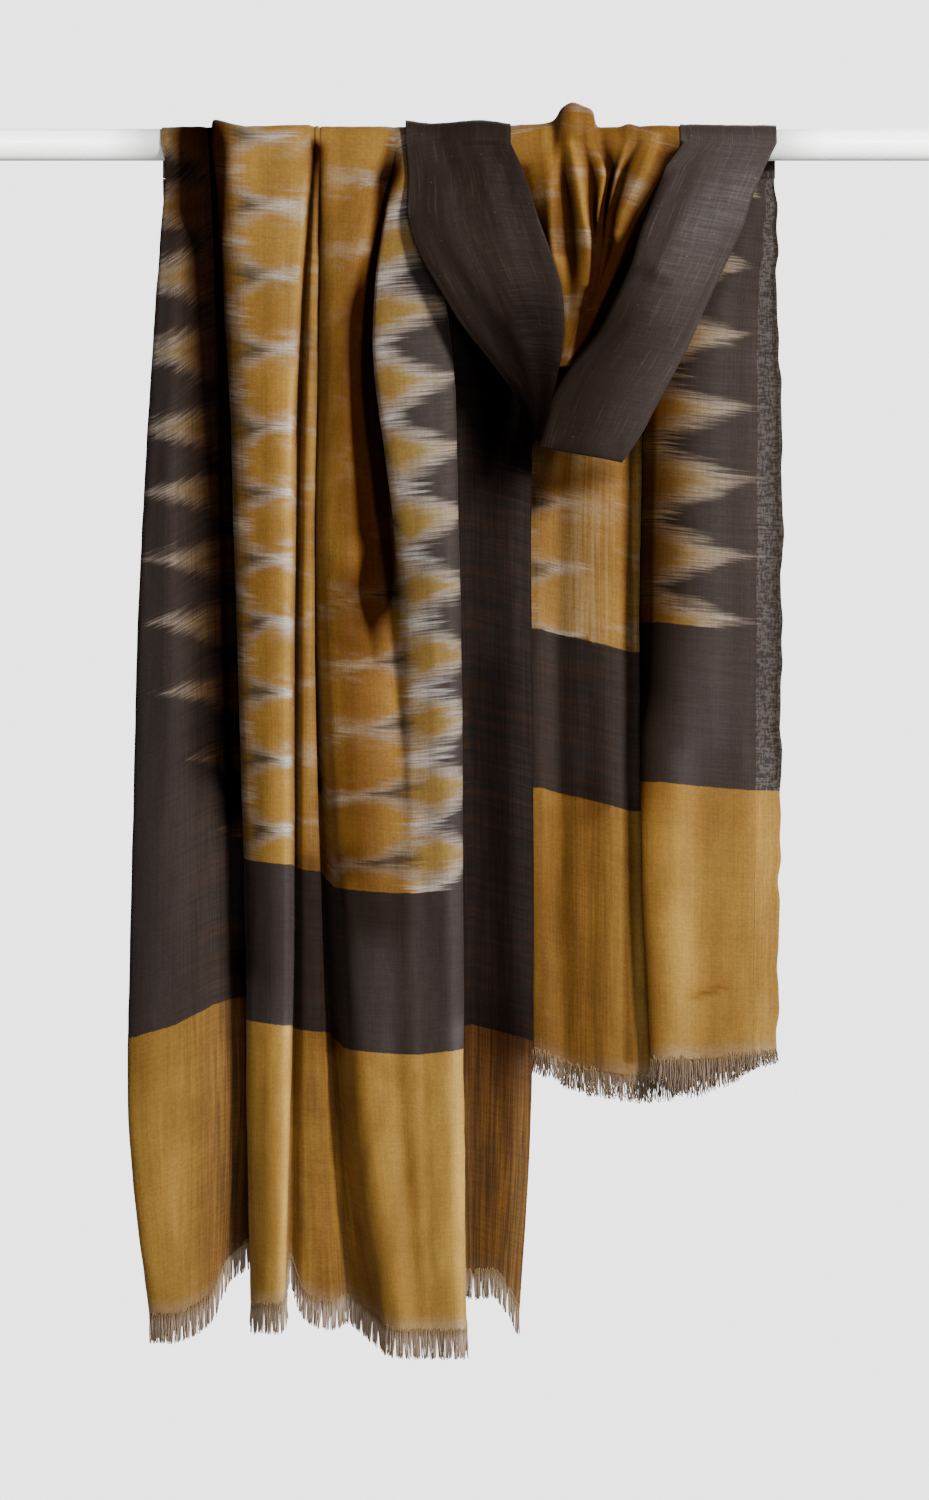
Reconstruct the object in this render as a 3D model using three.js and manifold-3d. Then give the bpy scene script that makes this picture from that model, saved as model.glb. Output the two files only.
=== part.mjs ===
// A long handwoven shawl draped over a straight round rod.
//
// One end hangs in front of the rod at the left, in deep upright folds. The cloth then crosses the rod,
// makes a short loop behind it, comes forward again as a swag with a plain turned-back border, and goes
// back over the rod at the right, where the other end hangs behind it.
//
// Millimetres, +Z up. The origin is on the rod's axis, above the middle of the shawl. -Y is the front.
import * as THREE from "three";
import { mergeVertices } from "three/addons/utils/BufferGeometryUtils.js";
import Module from "manifold-3d";

const wasm = await Module();
wasm.setup();

// ---- driving dimensions ----
const ROD_RADIUS = 12.5;
const ROD_LENGTH = 800;
const ROD_CHAMFER = 1;
const ROD_SIDES = 32;

const CLOTH = 1.2; // wall
const SEAM = 0.3; // between two pieces that meet
const CLEARANCE = 0.5; // between the rod and the cloth on it
const ON_ROD = ROD_RADIUS + CLEARANCE + CLOTH / 2; // radius of a first layer's middle surface
const OVER_LAYER = ON_ROD + CLOTH + SEAM; // radius of a second layer's
const ARC_STEPS = 8; // over the top of the rod, front to back
const FINE = 2; // pieces across between two fold lines
const FRONT_BULGE = 0.45; // share of a fold's height over the rod that it still has in front of it
const BACK_DROP = 25; // how far each stretch runs down behind the rod before it meets the next

const FRINGE_LENGTH = 22;
const FRINGE_BAND = 3; // height of the strip that holds the roots
const STRAND_RADIUS = 0.75;
const LEFT_STRANDS = 84; // places for them along the hem
const RIGHT_STRANDS = 66;
const ROOT_DEPTH = 1; // how far a strand reaches up into its strip
const HEM_CLEAR = 2.2; // how much the gap to a hem widens with its slope
const STEEPEST_ROOT = 1.6; // slope of hem that still carries a strand
const LENGTH_SWING = 1.5; // how much the strands differ in length

const LOOK = {
  rod: { color: 0xf2f1ee, roughness: 0.4 },
  charcoal: { color: 0x4a4342, roughness: 0.8 },
  gold: { color: 0xa87d2f, roughness: 0.75 },
  fringe: { color: 0x82736b, roughness: 0.9 },
};

// ---- curves and walls ----

// A smooth curve through evenly indexed values, read at a place t from 0 to the last index.
function along(values, t) {
  const last = values.length - 1;
  const i = Math.min(Math.floor(t), last - 1);
  const f = t - i;
  const at = (k) => values[Math.min(Math.max(k, 0), last)];
  const [a, b, c, d] = [at(i - 1), at(i), at(i + 1), at(i + 2)];
  const square = 2 * a - 5 * b + 4 * c - d;
  const cube = 3 * b - a - 3 * c + d;
  return 0.5 * (2 * b + (c - a) * f + square * f * f + cube * f * f * f);
}

const mix = (a, b, f) => a + (b - a) * f;
const ease = (f) => f * f * (3 - 2 * f);
const steps = (count) => Array.from({ length: count + 1 }, (_, i) => i / count);

// Each row of points made finer across, by `fine` pieces between two fold lines.
function refined(row, fine) {
  const last = row.length - 1;
  return steps(last * fine).map((f) => {
    const t = f * last;
    const read = (axis) => along(row.map((p) => p[axis]), t);
    return new THREE.Vector3(read("x"), read("y"), read("z"));
  });
}

// A closed wall of even thickness around a grid of middle-surface points.
function wall(grid) {
  const rows = grid.length;
  const cols = grid[0].length;
  const point = (r, c) => grid[Math.min(Math.max(r, 0), rows - 1)][Math.min(Math.max(c, 0), cols - 1)];
  const places = [];
  for (const side of [0.5, -0.5]) {
    for (let r = 0; r < rows; r++) {
      for (let c = 0; c < cols; c++) {
        const down = point(r + 1, c).clone().sub(point(r - 1, c));
        const across = point(r, c + 1).clone().sub(point(r, c - 1));
        const normal = down.cross(across).normalize();
        places.push(...point(r, c).clone().addScaledVector(normal, side * CLOTH));
      }
    }
  }
  const front = (r, c) => r * cols + c;
  const back = (r, c) => rows * cols + r * cols + c;
  const faces = [];
  const quad = (a, b, c, d) => faces.push(a, b, c, a, c, d);
  for (let r = 0; r + 1 < rows; r++) {
    for (let c = 0; c + 1 < cols; c++) {
      quad(front(r, c), front(r + 1, c), front(r + 1, c + 1), front(r, c + 1));
      quad(back(r, c), back(r, c + 1), back(r + 1, c + 1), back(r + 1, c));
    }
    quad(front(r, 0), back(r, 0), back(r + 1, 0), front(r + 1, 0));
    quad(front(r, cols - 1), front(r + 1, cols - 1), back(r + 1, cols - 1), back(r, cols - 1));
  }
  for (let c = 0; c + 1 < cols; c++) {
    quad(front(0, c), front(0, c + 1), back(0, c + 1), back(0, c));
    quad(front(rows - 1, c), back(rows - 1, c), back(rows - 1, c + 1), front(rows - 1, c + 1));
  }
  const geometry = new THREE.BufferGeometry();
  geometry.setAttribute("position", new THREE.Float32BufferAttribute(places, 3));
  geometry.setIndex(faces);
  return facingOut(geometry);
}

// The same closed surface with its faces turned round if they point inwards.
function facingOut(geometry) {
  const place = geometry.getAttribute("position");
  const index = geometry.getIndex();
  const corner = (i) => new THREE.Vector3().fromBufferAttribute(place, index.getX(i));
  let volume = 0;
  for (let i = 0; i < index.count; i += 3) {
    volume += corner(i).dot(corner(i + 1).cross(corner(i + 2)));
  }
  if (volume < 0) {
    for (let i = 0; i < index.count; i += 3) {
      const swap = index.getX(i);
      index.setX(i, index.getX(i + 1));
      index.setX(i + 1, swap);
    }
  }
  return geometry;
}

// The rows of a stretch over the rod, from the front (angle 0) to the back (180 degrees), then down.
// `places` gives the fold lines across, `bulges` how far each stands off the rod at its top, and `radius`
// is the layer's own.
function overRod(places, bulges, radius, fine) {
  const last = places.length - 1;
  const columns = steps(last * fine).map((f) => ({
    x: along(places, f * last),
    bulge: Math.max(0, along(bulges, f * last)),
  }));
  const arc = steps(ARC_STEPS).map((f) => {
    const angle = f * Math.PI;
    const share = f < 0.5 ? mix(FRONT_BULGE, 1, Math.sin(angle)) : Math.sin(angle);
    return columns.map(({ x, bulge }) => {
      const reach = radius + bulge * share;
      return new THREE.Vector3(x, -reach * Math.cos(angle), reach * Math.sin(angle));
    });
  });
  const drop = [0.5, 1].map((f) => columns.map(({ x }) => new THREE.Vector3(x, radius, -BACK_DROP * f)));
  return [...arc, ...drop];
}

// The rows over the rod of a stretch given by fold lines, on the first layer.
const crossing = (lines) => overRod(lines.map((l) => l.x[0]), lines.map((l) => l.bulge), ON_ROD, FINE);

// Where a fold line lies at the height of the rod's axis.
const frontOfRod = (line) => -(ON_ROD + FRONT_BULGE * line.bulge);

// How much a fold line is shifted down at t to end at its own hem, easing in over the last two levels.
function towardsHem(levels, hem, t) {
  const last = levels.length - 1;
  return (hem - levels[last]) * ease(Math.max(0, t - last + 2) / 2);
}

// ---- the left end, in front of the rod ----

// Heights of the sections that the fold lines pass through.
const LEFT_LEVELS = [0, -150, -350, -600, -760, -900];
const LEFT_ROWS = 11;
// One row for each fold line, from the selvedge turned under at the left to the one at the right.
// x: across, at each level. y: depth, at each level below the rod. bulge: over the rod. hem: lower edge.
const LEFT_LINES = [
  { line: "selvedge, turned under", bulge: 0, hem: -895,
    x: [-236, -208, -206, -203, -206, -209], y: [-6, -3, -3, -3, -3] },
  { line: "turned-under border", bulge: 0, hem: -906,
    x: [-233.5, -226, -230, -231, -234, -231], y: [-6, -3, -3, -3, -3] },
  { line: "left edge", bulge: 0, hem: -912,
    x: [-231, -241, -252, -258.5, -260, -245], y: [-12, -9, -9, -9, -9] },
  { line: "first fold, edge", bulge: 0.2, hem: -912,
    x: [-228, -237, -246, -252, -254, -240], y: [-17, -16, -16, -16, -15] },
  { line: "first fold, face", bulge: 0.4, hem: -911,
    x: [-218, -223, -226, -226, -225, -222], y: [-20, -21, -21, -20, -19] },
  { line: "first fold, right", bulge: 0.6, hem: -896,
    x: [-206, -206, -202, -197, -195, -197], y: [-17, -17, -17, -16, -15] },
  { line: "first valley", bulge: 0, hem: -867,
    x: [-200, -195, -186, -181, -178, -184], y: [-11, -8, -8, -8, -7] },
  { line: "first valley, under", bulge: 0, hem: -857,
    x: [-197, -186, -170, -163, -160, -163], y: [-8, -4, -4, -4, -3] },
  { line: "second fold, left edge", bulge: 2, hem: -900,
    x: [-194, -184, -178, -170, -169, -166], y: [-19, -20, -20, -19, -18] },
  { line: "second fold, face", bulge: 1, hem: -903,
    x: [-171, -167, -163, -158, -158, -158], y: [-27, -30, -30, -29, -28] },
  { line: "second fold, ridge", bulge: 2, hem: -903,
    x: [-128, -136, -141, -140, -142, -144], y: [-30, -34, -34, -33, -33] },
  { line: "second fold, right", bulge: 1, hem: -896,
    x: [-119, -130, -134.5, -134.5, -136, -139], y: [-25, -27, -27, -27, -27] },
  { line: "second valley", bulge: 0.3, hem: -866,
    x: [-117, -127, -131, -132, -134.5, -136], y: [-13, -11, -11, -11, -11] },
  { line: "third fold, face", bulge: 1, hem: -894,
    x: [-115.5, -121, -125, -125, -124, -124], y: [-21, -20, -20, -19, -18] },
  { line: "third fold, right", bulge: 1, hem: -902,
    x: [-114, -116, -119, -114, -109, -103], y: [-19, -18, -18, -17, -17] },
  { line: "third valley", bulge: 0, hem: -898,
    x: [-112.5, -115, -118, -110, -101, -90], y: [-8, -5, -5, -6, -7] },
  { line: "fourth fold, left edge", bulge: 0.8, hem: -915,
    x: [-110.5, -111, -113.5, -100, -89, -67.5], y: [-16, -16, -16, -19, -22] },
  { line: "fourth fold, face", bulge: 0.6, hem: -920,
    x: [-100, -102, -104, -93, -81.5, -61], y: [-24, -25, -27, -29, -30] },
  { line: "fourth fold, ridge", bulge: 0.6, hem: -922,
    x: [-74, -91, -89, -80, -69, -52], y: [-25, -27, -31, -33, -34] },
  { line: "fourth fold, right", bulge: 0.4, hem: -923,
    x: [-60, -84, -78, -66, -58, -44], y: [-18, -18, -31, -33, -34] },
  { line: "brown valley", bulge: 0, hem: -923,
    x: [-55, -75, -64, -54, -47.5, -36.5], y: [-9, -8, -30, -32, -33] },
  { line: "brown valley, under", bulge: 0, hem: -923,
    x: [-53.5, -62, -54, -44, -39, -30], y: [-10, -8, -30, -32, -33] },
  { line: "fifth fold, left edge", bulge: 0.2, hem: -923,
    x: [-51, -71, -47, -36, -31, -23], y: [-22, -20, -31, -32, -33] },
  { line: "fifth fold, face", bulge: 0.2, hem: -923,
    x: [-48, -49, -32, -24, -21, -14], y: [-30, -30, -33, -35, -35] },
  { line: "fifth fold, ridge", bulge: 0.2, hem: -922,
    x: [-45.5, -21, -13, -10, -8, -3.5], y: [-30, -34, -35, -36, -36] },
  { line: "fifth fold, right edge", bulge: 0.1, hem: -919,
    x: [-43.5, -11, -3.5, -1, -0.5, 2], y: [-24, -26, -27, -27, -28] },
  { line: "fourth valley", bulge: 0, hem: -880,
    x: [-41.5, -19, -13, -10, -10, -8], y: [-13, -12, -12, -12, -13] },
  { line: "right panel, left", bulge: 0, hem: -879,
    x: [-27, -2, 4, 6, 6, 6], y: [-11, -8, -8, -8, -9] },
  { line: "right panel, middle", bulge: 0, hem: -880,
    x: [-2, 28, 31, 33, 31.6, 26], y: [-12, -11, -11, -12, -12] },
  { line: "right selvedge", bulge: 0, hem: -908,
    x: [21, 49.5, 52, 54, 51.5, 43], y: [-9, -8, -8, -9, -10] },
];

function leftPoint(line, t) {
  const z = along(LEFT_LEVELS, t) + towardsHem(LEFT_LEVELS, line.hem, t);
  return new THREE.Vector3(along(line.x, t), along([frontOfRod(line), ...line.y], t), z);
}

function leftEndGrid() {
  const hanging = steps(LEFT_ROWS).slice(1).reverse();
  const last = LEFT_LEVELS.length - 1;
  const rows = hanging.map((f) => refined(LEFT_LINES.map((line) => leftPoint(line, last * f)), FINE));
  return [...rows, ...crossing(LEFT_LINES)];
}

// ---- the swag's turned-back flap ----

// One row for each height, from the rod to the tip. y is given at the left edge, the middle and the right edge.
const FLAP_SECTIONS = [
  { z: 0, left: -46, right: 36, y: [-17, -16, -15.5] },
  { z: -25, left: -44, right: 47, y: [-20, -23, -20] },
  { z: -58, left: -44, right: 57, y: [-29, -35, -28] },
  { z: -86, left: -36, right: 67, y: [-36, -43, -34] },
  { z: -113, left: -21, right: 75, y: [-42, -50, -40] },
  { z: -144, left: -2, right: 77, y: [-46, -54, -44] },
  { z: -172, left: 20, right: 74, y: [-48, -55, -46] },
  { z: -199, left: 39, right: 68, y: [-48, -53, -47] },
  { z: -222, left: 46, right: 62, y: [-47, -51, -47] },
  { z: -240, left: 45, right: 56, y: [-46, -49, -47] },
];
const FLAP_BULGES = [4, 1.5, 3, 4, 1]; // over the rod, left to right
const FLAP_COLUMNS = 8;

function flapGrid() {
  const down = FLAP_SECTIONS.slice(1).reverse().map((section) =>
    steps(FLAP_COLUMNS).map((f) => {
      const y = along([section.y[0], section.y[1], section.y[2]], 2 * f);
      return new THREE.Vector3(mix(section.left, section.right, f), y, section.z);
    }),
  );
  const { left, right } = FLAP_SECTIONS[0];
  const places = FLAP_BULGES.map((_, i) => mix(left, right, i / (FLAP_BULGES.length - 1)));
  return [...down, ...overRod(places, FLAP_BULGES, OVER_LAYER, FLAP_COLUMNS / (FLAP_BULGES.length - 1))];
}

// ---- the swag's gathers ----

const GATHER_LEVELS = [0, -25, -55, -80, -113, -140, -175];
// One row for each fold line, left to right; x and y at each level, and the height over the rod.
const GATHER_LINES = [
  { line: "under the flap", bulge: 0.5,
    x: [39.5, 41, 52, 60, 67, 70, 70], y: [-15.5, -17, -21, -26, -28, -30] },
  { line: "first face", bulge: 2,
    x: [49.5, 54, 60, 64, 70.5, 72.5, 71.5], y: [-18, -20, -23, -27, -29, -31] },
  { line: "first ridge", bulge: 4,
    x: [67, 68, 67.5, 68.5, 74, 76, 73.5], y: [-24, -27, -28, -29, -30, -32] },
  { line: "first valley", bulge: 15,
    x: [76, 76, 79, 80, 81, 80, 75.5], y: [-19, -21, -24, -31, -32, -33] },
  { line: "second ridge", bulge: 19.5,
    x: [84, 88, 92, 96, 94, 87, 78], y: [-27, -30, -33, -34, -34, -34] },
  { line: "second valley", bulge: 16.5,
    x: [93, 98, 99, 99.5, 96.5, 88.5, 79.5], y: [-21, -24, -29, -33, -33.5, -34] },
  { line: "third ridge", bulge: 12.5,
    x: [100, 108, 103.5, 102, 98, 90, 81], y: [-25, -28, -28.5, -32.5, -33, -33.5] },
  { line: "fourth fold", bulge: 0.5,
    x: [104, 111, 106, 104, 99.5, 91.2, 82.5], y: [-18, -23, -27, -32, -32.6, -33] },
  { line: "third valley", bulge: 0,
    x: [119, 114, 108.5, 106, 101, 92.4, 84], y: [-16, -20, -25.5, -31.4, -32.2, -32.6] },
  { line: "fifth ridge", bulge: 2.5,
    x: [128, 118.5, 111.5, 108.5, 102.5, 93.6, 85.5], y: [-22, -23.5, -26, -31, -31.8, -32.2] },
  { line: "fourth valley", bulge: 0.8,
    x: [137, 124, 115, 111, 104, 95, 87], y: [-17.5, -20, -24.5, -30.4, -31.3, -31.8] },
  { line: "broad fold, ridge", bulge: 1.5,
    x: [151, 141, 126, 117, 106, 96.6, 89], y: [-24, -26, -27.5, -29.6, -30.7, -31.2] },
  { line: "broad fold, right", bulge: 1,
    x: [163, 153, 138.5, 127, 109, 99, 92], y: [-18, -21, -22, -27, -29, -30] },
];
const GATHER_ROWS = 8;

function gatherPoint(line, t) {
  return new THREE.Vector3(along(line.x, t), along([frontOfRod(line), ...line.y], t), along(GATHER_LEVELS, t));
}

function gathersGrid() {
  const hanging = steps(GATHER_ROWS).slice(1).reverse();
  const last = GATHER_LEVELS.length - 1;
  const rows = hanging.map((f) => refined(GATHER_LINES.map((line) => gatherPoint(line, last * f)), FINE));
  return [...rows, ...crossing(GATHER_LINES)];
}

// ---- the swag's right band ----

// One row for each section across the band, from its turned-under foot up to the rod.
// left and right: [x, z] of its edges. y: depth behind the left edge's roll, at the left edge, middle, right.
const BAND_SECTIONS = [
  { left: [62, -228], right: [117, -238], y: [-22, -23, -23, -22] },
  { left: [58, -235], right: [120, -246], y: [-28, -31, -31, -29] },
  { left: [57, -236], right: [123, -248], y: [-31, -39, -39, -35] },
  { left: [61, -218], right: [136, -229], y: [-32, -42, -43, -37] },
  { left: [69, -195], right: [148, -207], y: [-33, -44, -46, -38] },
  { left: [82, -174], right: [159, -186], y: [-34, -46, -48, -38] },
  { left: [101, -150], right: [173, -160], y: [-34, -46, -48, -36] },
  { left: [117, -122], right: [187, -129], y: [-34, -44, -46, -33] },
  { left: [129, -96], right: [202, -97], y: [-32, -41, -43, -29] },
  { left: [136, -72], right: [216, -66], y: [-28, -37, -39, -25] },
  { left: [147, -44], right: [224, -42], y: [-22, -30, -31, -20] },
  { left: [157, -18], right: [234, -18], y: [-16, -20, -20, -16.5] },
];
const BAND_TOP = { x: [168, 171, 183, 205, 243], bulge: [1, 1, 1, 0.6, 0.3] };
const BAND_ROLL = 7; // how far the left edge turns back under itself
const BAND_SHARES = { underDepth: 0.6, shoulder: 0.12, middle: 0.5 }; // of the section, across

function between(share, left, right, y) {
  return new THREE.Vector3(mix(left[0], right[0], share), y, mix(left[1], right[1], share));
}

function bandGrid() {
  const rows = BAND_SECTIONS.map(({ left, right, y }) =>
    refined([
      new THREE.Vector3(left[0] + BAND_ROLL, y[0], left[1]),
      new THREE.Vector3(left[0], mix(y[0], y[1], BAND_SHARES.underDepth), left[1]),
      between(BAND_SHARES.shoulder, left, right, y[1]),
      between(BAND_SHARES.middle, left, right, y[2]),
      new THREE.Vector3(right[0], y[3], right[1]),
    ], FINE),
  );
  return [...rows, ...overRod(BAND_TOP.x, BAND_TOP.bulge, ON_ROD, FINE)];
}

// ---- the right end, behind the rod ----

const RIGHT_LEVELS = [-BACK_DROP - SEAM, -130, -250, -540, -715];
const RIGHT_ROWS = 10;
// One row for each fold line, from the right selvedge to the left edge: a panel in front, folded back
// behind itself, and a second panel that shows to its left.
const RIGHT_LINES = [
  { line: "right selvedge", hem: -710,
    x: [243, 246, 249, 247.5, 244.5], y: [18, 19, 19, 18] },
  { line: "outer panel, right", hem: -711.5,
    x: [235, 226, 224, 222.5, 221], y: [17, 17, 17, 17] },
  { line: "outer panel, middle", hem: -714,
    x: [227, 199, 192, 190, 188], y: [16, 15, 15, 16] },
  { line: "outer panel, left", hem: -715,
    x: [217, 168, 156, 154, 159], y: [16, 15, 15, 17] },
  { line: "outer fold edge", hem: -716,
    x: [209, 146, 139, 137.7, 145.5], y: [20, 20, 20, 22] },
  { line: "behind, left", hem: -718,
    x: [201, 156, 152.5, 152.5, 158.5], y: [26, 26, 26, 27] },
  { line: "behind, middle", hem: -718,
    x: [193, 184, 193, 194.5, 193], y: [27, 28, 28, 29] },
  { line: "back fold, front", hem: -717,
    x: [186.8, 211, 229, 229, 224], y: [29, 30, 30, 31] },
  { line: "back fold, rear", hem: -718,
    x: [180.6, 209, 225, 225, 220], y: [36, 37, 37, 37] },
  { line: "inner panel, hidden", hem: -722,
    x: [172.8, 187.6, 188, 190, 188], y: [38, 40, 40, 39] },
  { line: "inner panel, right", hem: -727,
    x: [165, 162, 152.5, 154, 155.6], y: [38, 39, 39, 37] },
  { line: "narrow valley", hem: -728,
    x: [155.6, 141, 131, 131, 132], y: [33, 33, 33, 32] },
  { line: "inner panel, crown", hem: -725,
    x: [146, 125, 110, 110, 110], y: [29, 30, 30, 30] },
  { line: "inner panel, middle", hem: -723,
    x: [137, 110, 90, 90, 91.5], y: [33, 33, 33, 33] },
  { line: "left valley", hem: -718,
    x: [129, 98, 75, 75, 77.5], y: [37, 38, 38, 37] },
  { line: "inner panel, left", hem: -712,
    x: [121, 88, 61, 63, 65], y: [33, 33, 33, 33] },
  { line: "left edge", hem: -709,
    x: [116, 76, 48, 52.6, 53.5], y: [34, 35, 35, 35] },
  { line: "turned-under border", hem: -711,
    x: [112, 88, 71, 74, 74], y: [42, 43, 43, 42] },
];

function rightPoint(line, t) {
  const z = along(RIGHT_LEVELS, t) + towardsHem(RIGHT_LEVELS, line.hem, t);
  return new THREE.Vector3(along(line.x, t), along([ON_ROD, ...line.y], t), z);
}

function rightEndGrid() {
  const last = RIGHT_LEVELS.length - 1;
  return steps(RIGHT_ROWS).reverse().map((f) =>
    refined(RIGHT_LINES.map((line) => rightPoint(line, last * f)), FINE),
  );
}

// ---- the loop behind the rod ----

const LOOP_ROWS = 14;
const LOOP_COLUMNS = 20;
const LOOP_DROP = [210, 150]; // at the left and right selvedge
const LOOP_DEPTH = [34, 7]; // the same, from front to back
const LOOP_DEEPEST = 1.8; // above 1, the loop is deepest past its middle
const LOOP_WAVES = { count: 4, depth: 4 };
const LOOP_END = 108; // x where its last row stops, short of the right end

// A place along a row of points, by its share of the row's length.
function placeOn(row, share) {
  const ends = row.map((_, i) => (i ? row[i].distanceTo(row[i - 1]) : 0));
  const total = ends.reduce((a, b) => a + b);
  let left = share * total;
  for (let i = 1; i < row.length; i++) {
    if (left <= ends[i] || i === row.length - 1) {
      return row[i - 1].clone().lerp(row[i], Math.min(1, left / ends[i]));
    }
    left -= ends[i];
  }
}

// It leaves where the left end stops behind the rod, and ends where the flap and the gathers begin there.
function loopGrid(startRow, endRow) {
  return steps(LOOP_ROWS).map((s) =>
    steps(LOOP_COLUMNS).map((u) => {
      const a = placeOn(startRow, u);
      const b = placeOn(endRow, u);
      const fall = Math.sin(Math.PI * s);
      const depth = mix(LOOP_DEPTH[0], LOOP_DEPTH[1], u) * Math.sin(Math.PI * s ** LOOP_DEEPEST);
      const wave = LOOP_WAVES.depth * Math.sin(2 * Math.PI * LOOP_WAVES.count * u) * fall;
      const z = -BACK_DROP - SEAM - mix(LOOP_DROP[0], LOOP_DROP[1], u) * fall;
      return new THREE.Vector3(mix(a.x, b.x, ease(s)), mix(a.y, b.y, s) + depth + wave, z);
    }),
  );
}

// ---- fringe ----

function solid(geometry) {
  const bare = new THREE.BufferGeometry();
  bare.setAttribute("position", geometry.getAttribute("position"));
  bare.setIndex(geometry.getIndex());
  const merged = mergeVertices(bare, 1e-4);
  return new wasm.Manifold(
    new wasm.Mesh({
      numProp: 3,
      vertProperties: new Float32Array(merged.getAttribute("position").array),
      triVerts: new Uint32Array(merged.getIndex().array),
    }),
  );
}

function geometryOf(manifold) {
  const mesh = manifold.getMesh();
  const geometry = new THREE.BufferGeometry();
  geometry.setAttribute("position", new THREE.BufferAttribute(new Float32Array(mesh.vertProperties), 3));
  geometry.setIndex(new THREE.BufferAttribute(new Uint32Array(mesh.triVerts), 1));
  return geometry;
}

// One three-sided strand that tapers from its root to a slightly curled tip.
function strand(root, length, lean) {
  const ring = (centre, radius) =>
    [0, 1, 2].map((i) => {
      const angle = (i * 2 * Math.PI) / 3;
      return [centre.x + radius * Math.cos(angle), centre.y + radius * Math.sin(angle), centre.z];
    });
  const tip = new THREE.Vector3(root.x + lean, root.y + 0.4 * lean, root.z - length);
  const geometry = new THREE.BufferGeometry();
  const places = [...ring(root, STRAND_RADIUS), ...ring(tip, STRAND_RADIUS / 2)].flat();
  geometry.setAttribute("position", new THREE.Float32BufferAttribute(places, 3));
  geometry.setIndex([0, 1, 2, 3, 5, 4, 0, 4, 1, 0, 3, 4, 1, 5, 2, 1, 4, 5, 2, 3, 0, 2, 5, 3]);
  return facingOut(geometry);
}

// How steeply a row of points falls or climbs beside point i, as height over run.
function slopeAt(row, i) {
  const slope = (a, b) => Math.abs(b.z - a.z) / Math.hypot(b.x - a.x, b.y - a.y);
  const before = i > 0 ? slope(row[i - 1], row[i]) : 0;
  const after = i + 1 < row.length ? slope(row[i], row[i + 1]) : 0;
  return Math.max(before, after);
}

// A narrow strip just under a hem, with strands that hang from it where the hem isn't too steep for them.
function fringe(hemRow, count) {
  const lowered = (drop) =>
    hemRow.map((p, i) => new THREE.Vector3(p.x, p.y, p.z - SEAM * (1 + HEM_CLEAR * slopeAt(hemRow, i)) - drop));
  const strip = [lowered(0), lowered(FRINGE_BAND)];
  const strands = [];
  for (let i = 0; i < count; i++) {
    const share = (i + 0.5) / count;
    const near = 0.2 / count;
    const beside = [placeOn(strip[0], share - near), placeOn(strip[0], share + near)];
    if (slopeAt(beside, 0) > STEEPEST_ROOT) continue;
    const root = placeOn(strip[1], share);
    root.z += ROOT_DEPTH;
    const uneven = Math.sin(i * 2.4) + Math.sin(i * 0.9);
    const length = FRINGE_LENGTH - FRINGE_BAND + ROOT_DEPTH + LENGTH_SWING * uneven;
    strands.push(solid(strand(root, length, Math.sin(i * 1.7))));
  }
  return geometryOf(strands.reduce((all, one) => all.add(one), solid(wall(strip))));
}

// ---- the rod ----

function rodGeometry() {
  const half = ROD_LENGTH / 2;
  const profile = [
    [0, -half],
    [ROD_RADIUS - ROD_CHAMFER, -half],
    [ROD_RADIUS, -half + ROD_CHAMFER],
    [ROD_RADIUS, half - ROD_CHAMFER],
    [ROD_RADIUS - ROD_CHAMFER, half],
    [0, half],
  ].map(([r, x]) => new THREE.Vector2(r, x));
  return new THREE.LatheGeometry(profile, ROD_SIDES);
}

// ---- the group ----

const shawl = new THREE.Group();

function add(name, geometry, look) {
  const mesh = new THREE.Mesh(geometry, new THREE.MeshStandardMaterial({ ...look, metalness: 0 }));
  mesh.name = name;
  shawl.add(mesh);
  return mesh;
}

const leftEnd = leftEndGrid();
const flap = flapGrid();
const gathers = gathersGrid();
const rightEnd = rightEndGrid();
const backRow = [...flap[flap.length - 1], ...gathers[gathers.length - 1].filter((p) => p.x < LOOP_END)];

add("rod", rodGeometry(), LOOK.rod).rotation.z = -Math.PI / 2;
add("left_end", wall(leftEnd), LOOK.gold);
add("back_loop", wall(loopGrid(leftEnd[leftEnd.length - 1], backRow)), LOOK.gold);
add("swag_flap", wall(flap), LOOK.charcoal);
add("swag_gathers", wall(gathers), LOOK.gold);
add("swag_band", wall(bandGrid()), LOOK.charcoal);
add("right_end", wall(rightEnd), LOOK.gold);
add("left_fringe", fringe(leftEnd[0], LEFT_STRANDS), LOOK.fringe);
add("right_fringe", fringe(rightEnd[0], RIGHT_STRANDS), LOOK.fringe);

export default shawl;
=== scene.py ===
"""A long handwoven shawl with serrated ikat borders, draped over a straight white rod.

Each stretch of cloth is a thin shell on the form of its CAD solid, worked out from the same fold lines,
with finer creases on it. Shapes are worked out in millimetres and become metres when a mesh is made.
+Z is up and the front faces -Y.
"""

import math

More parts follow.
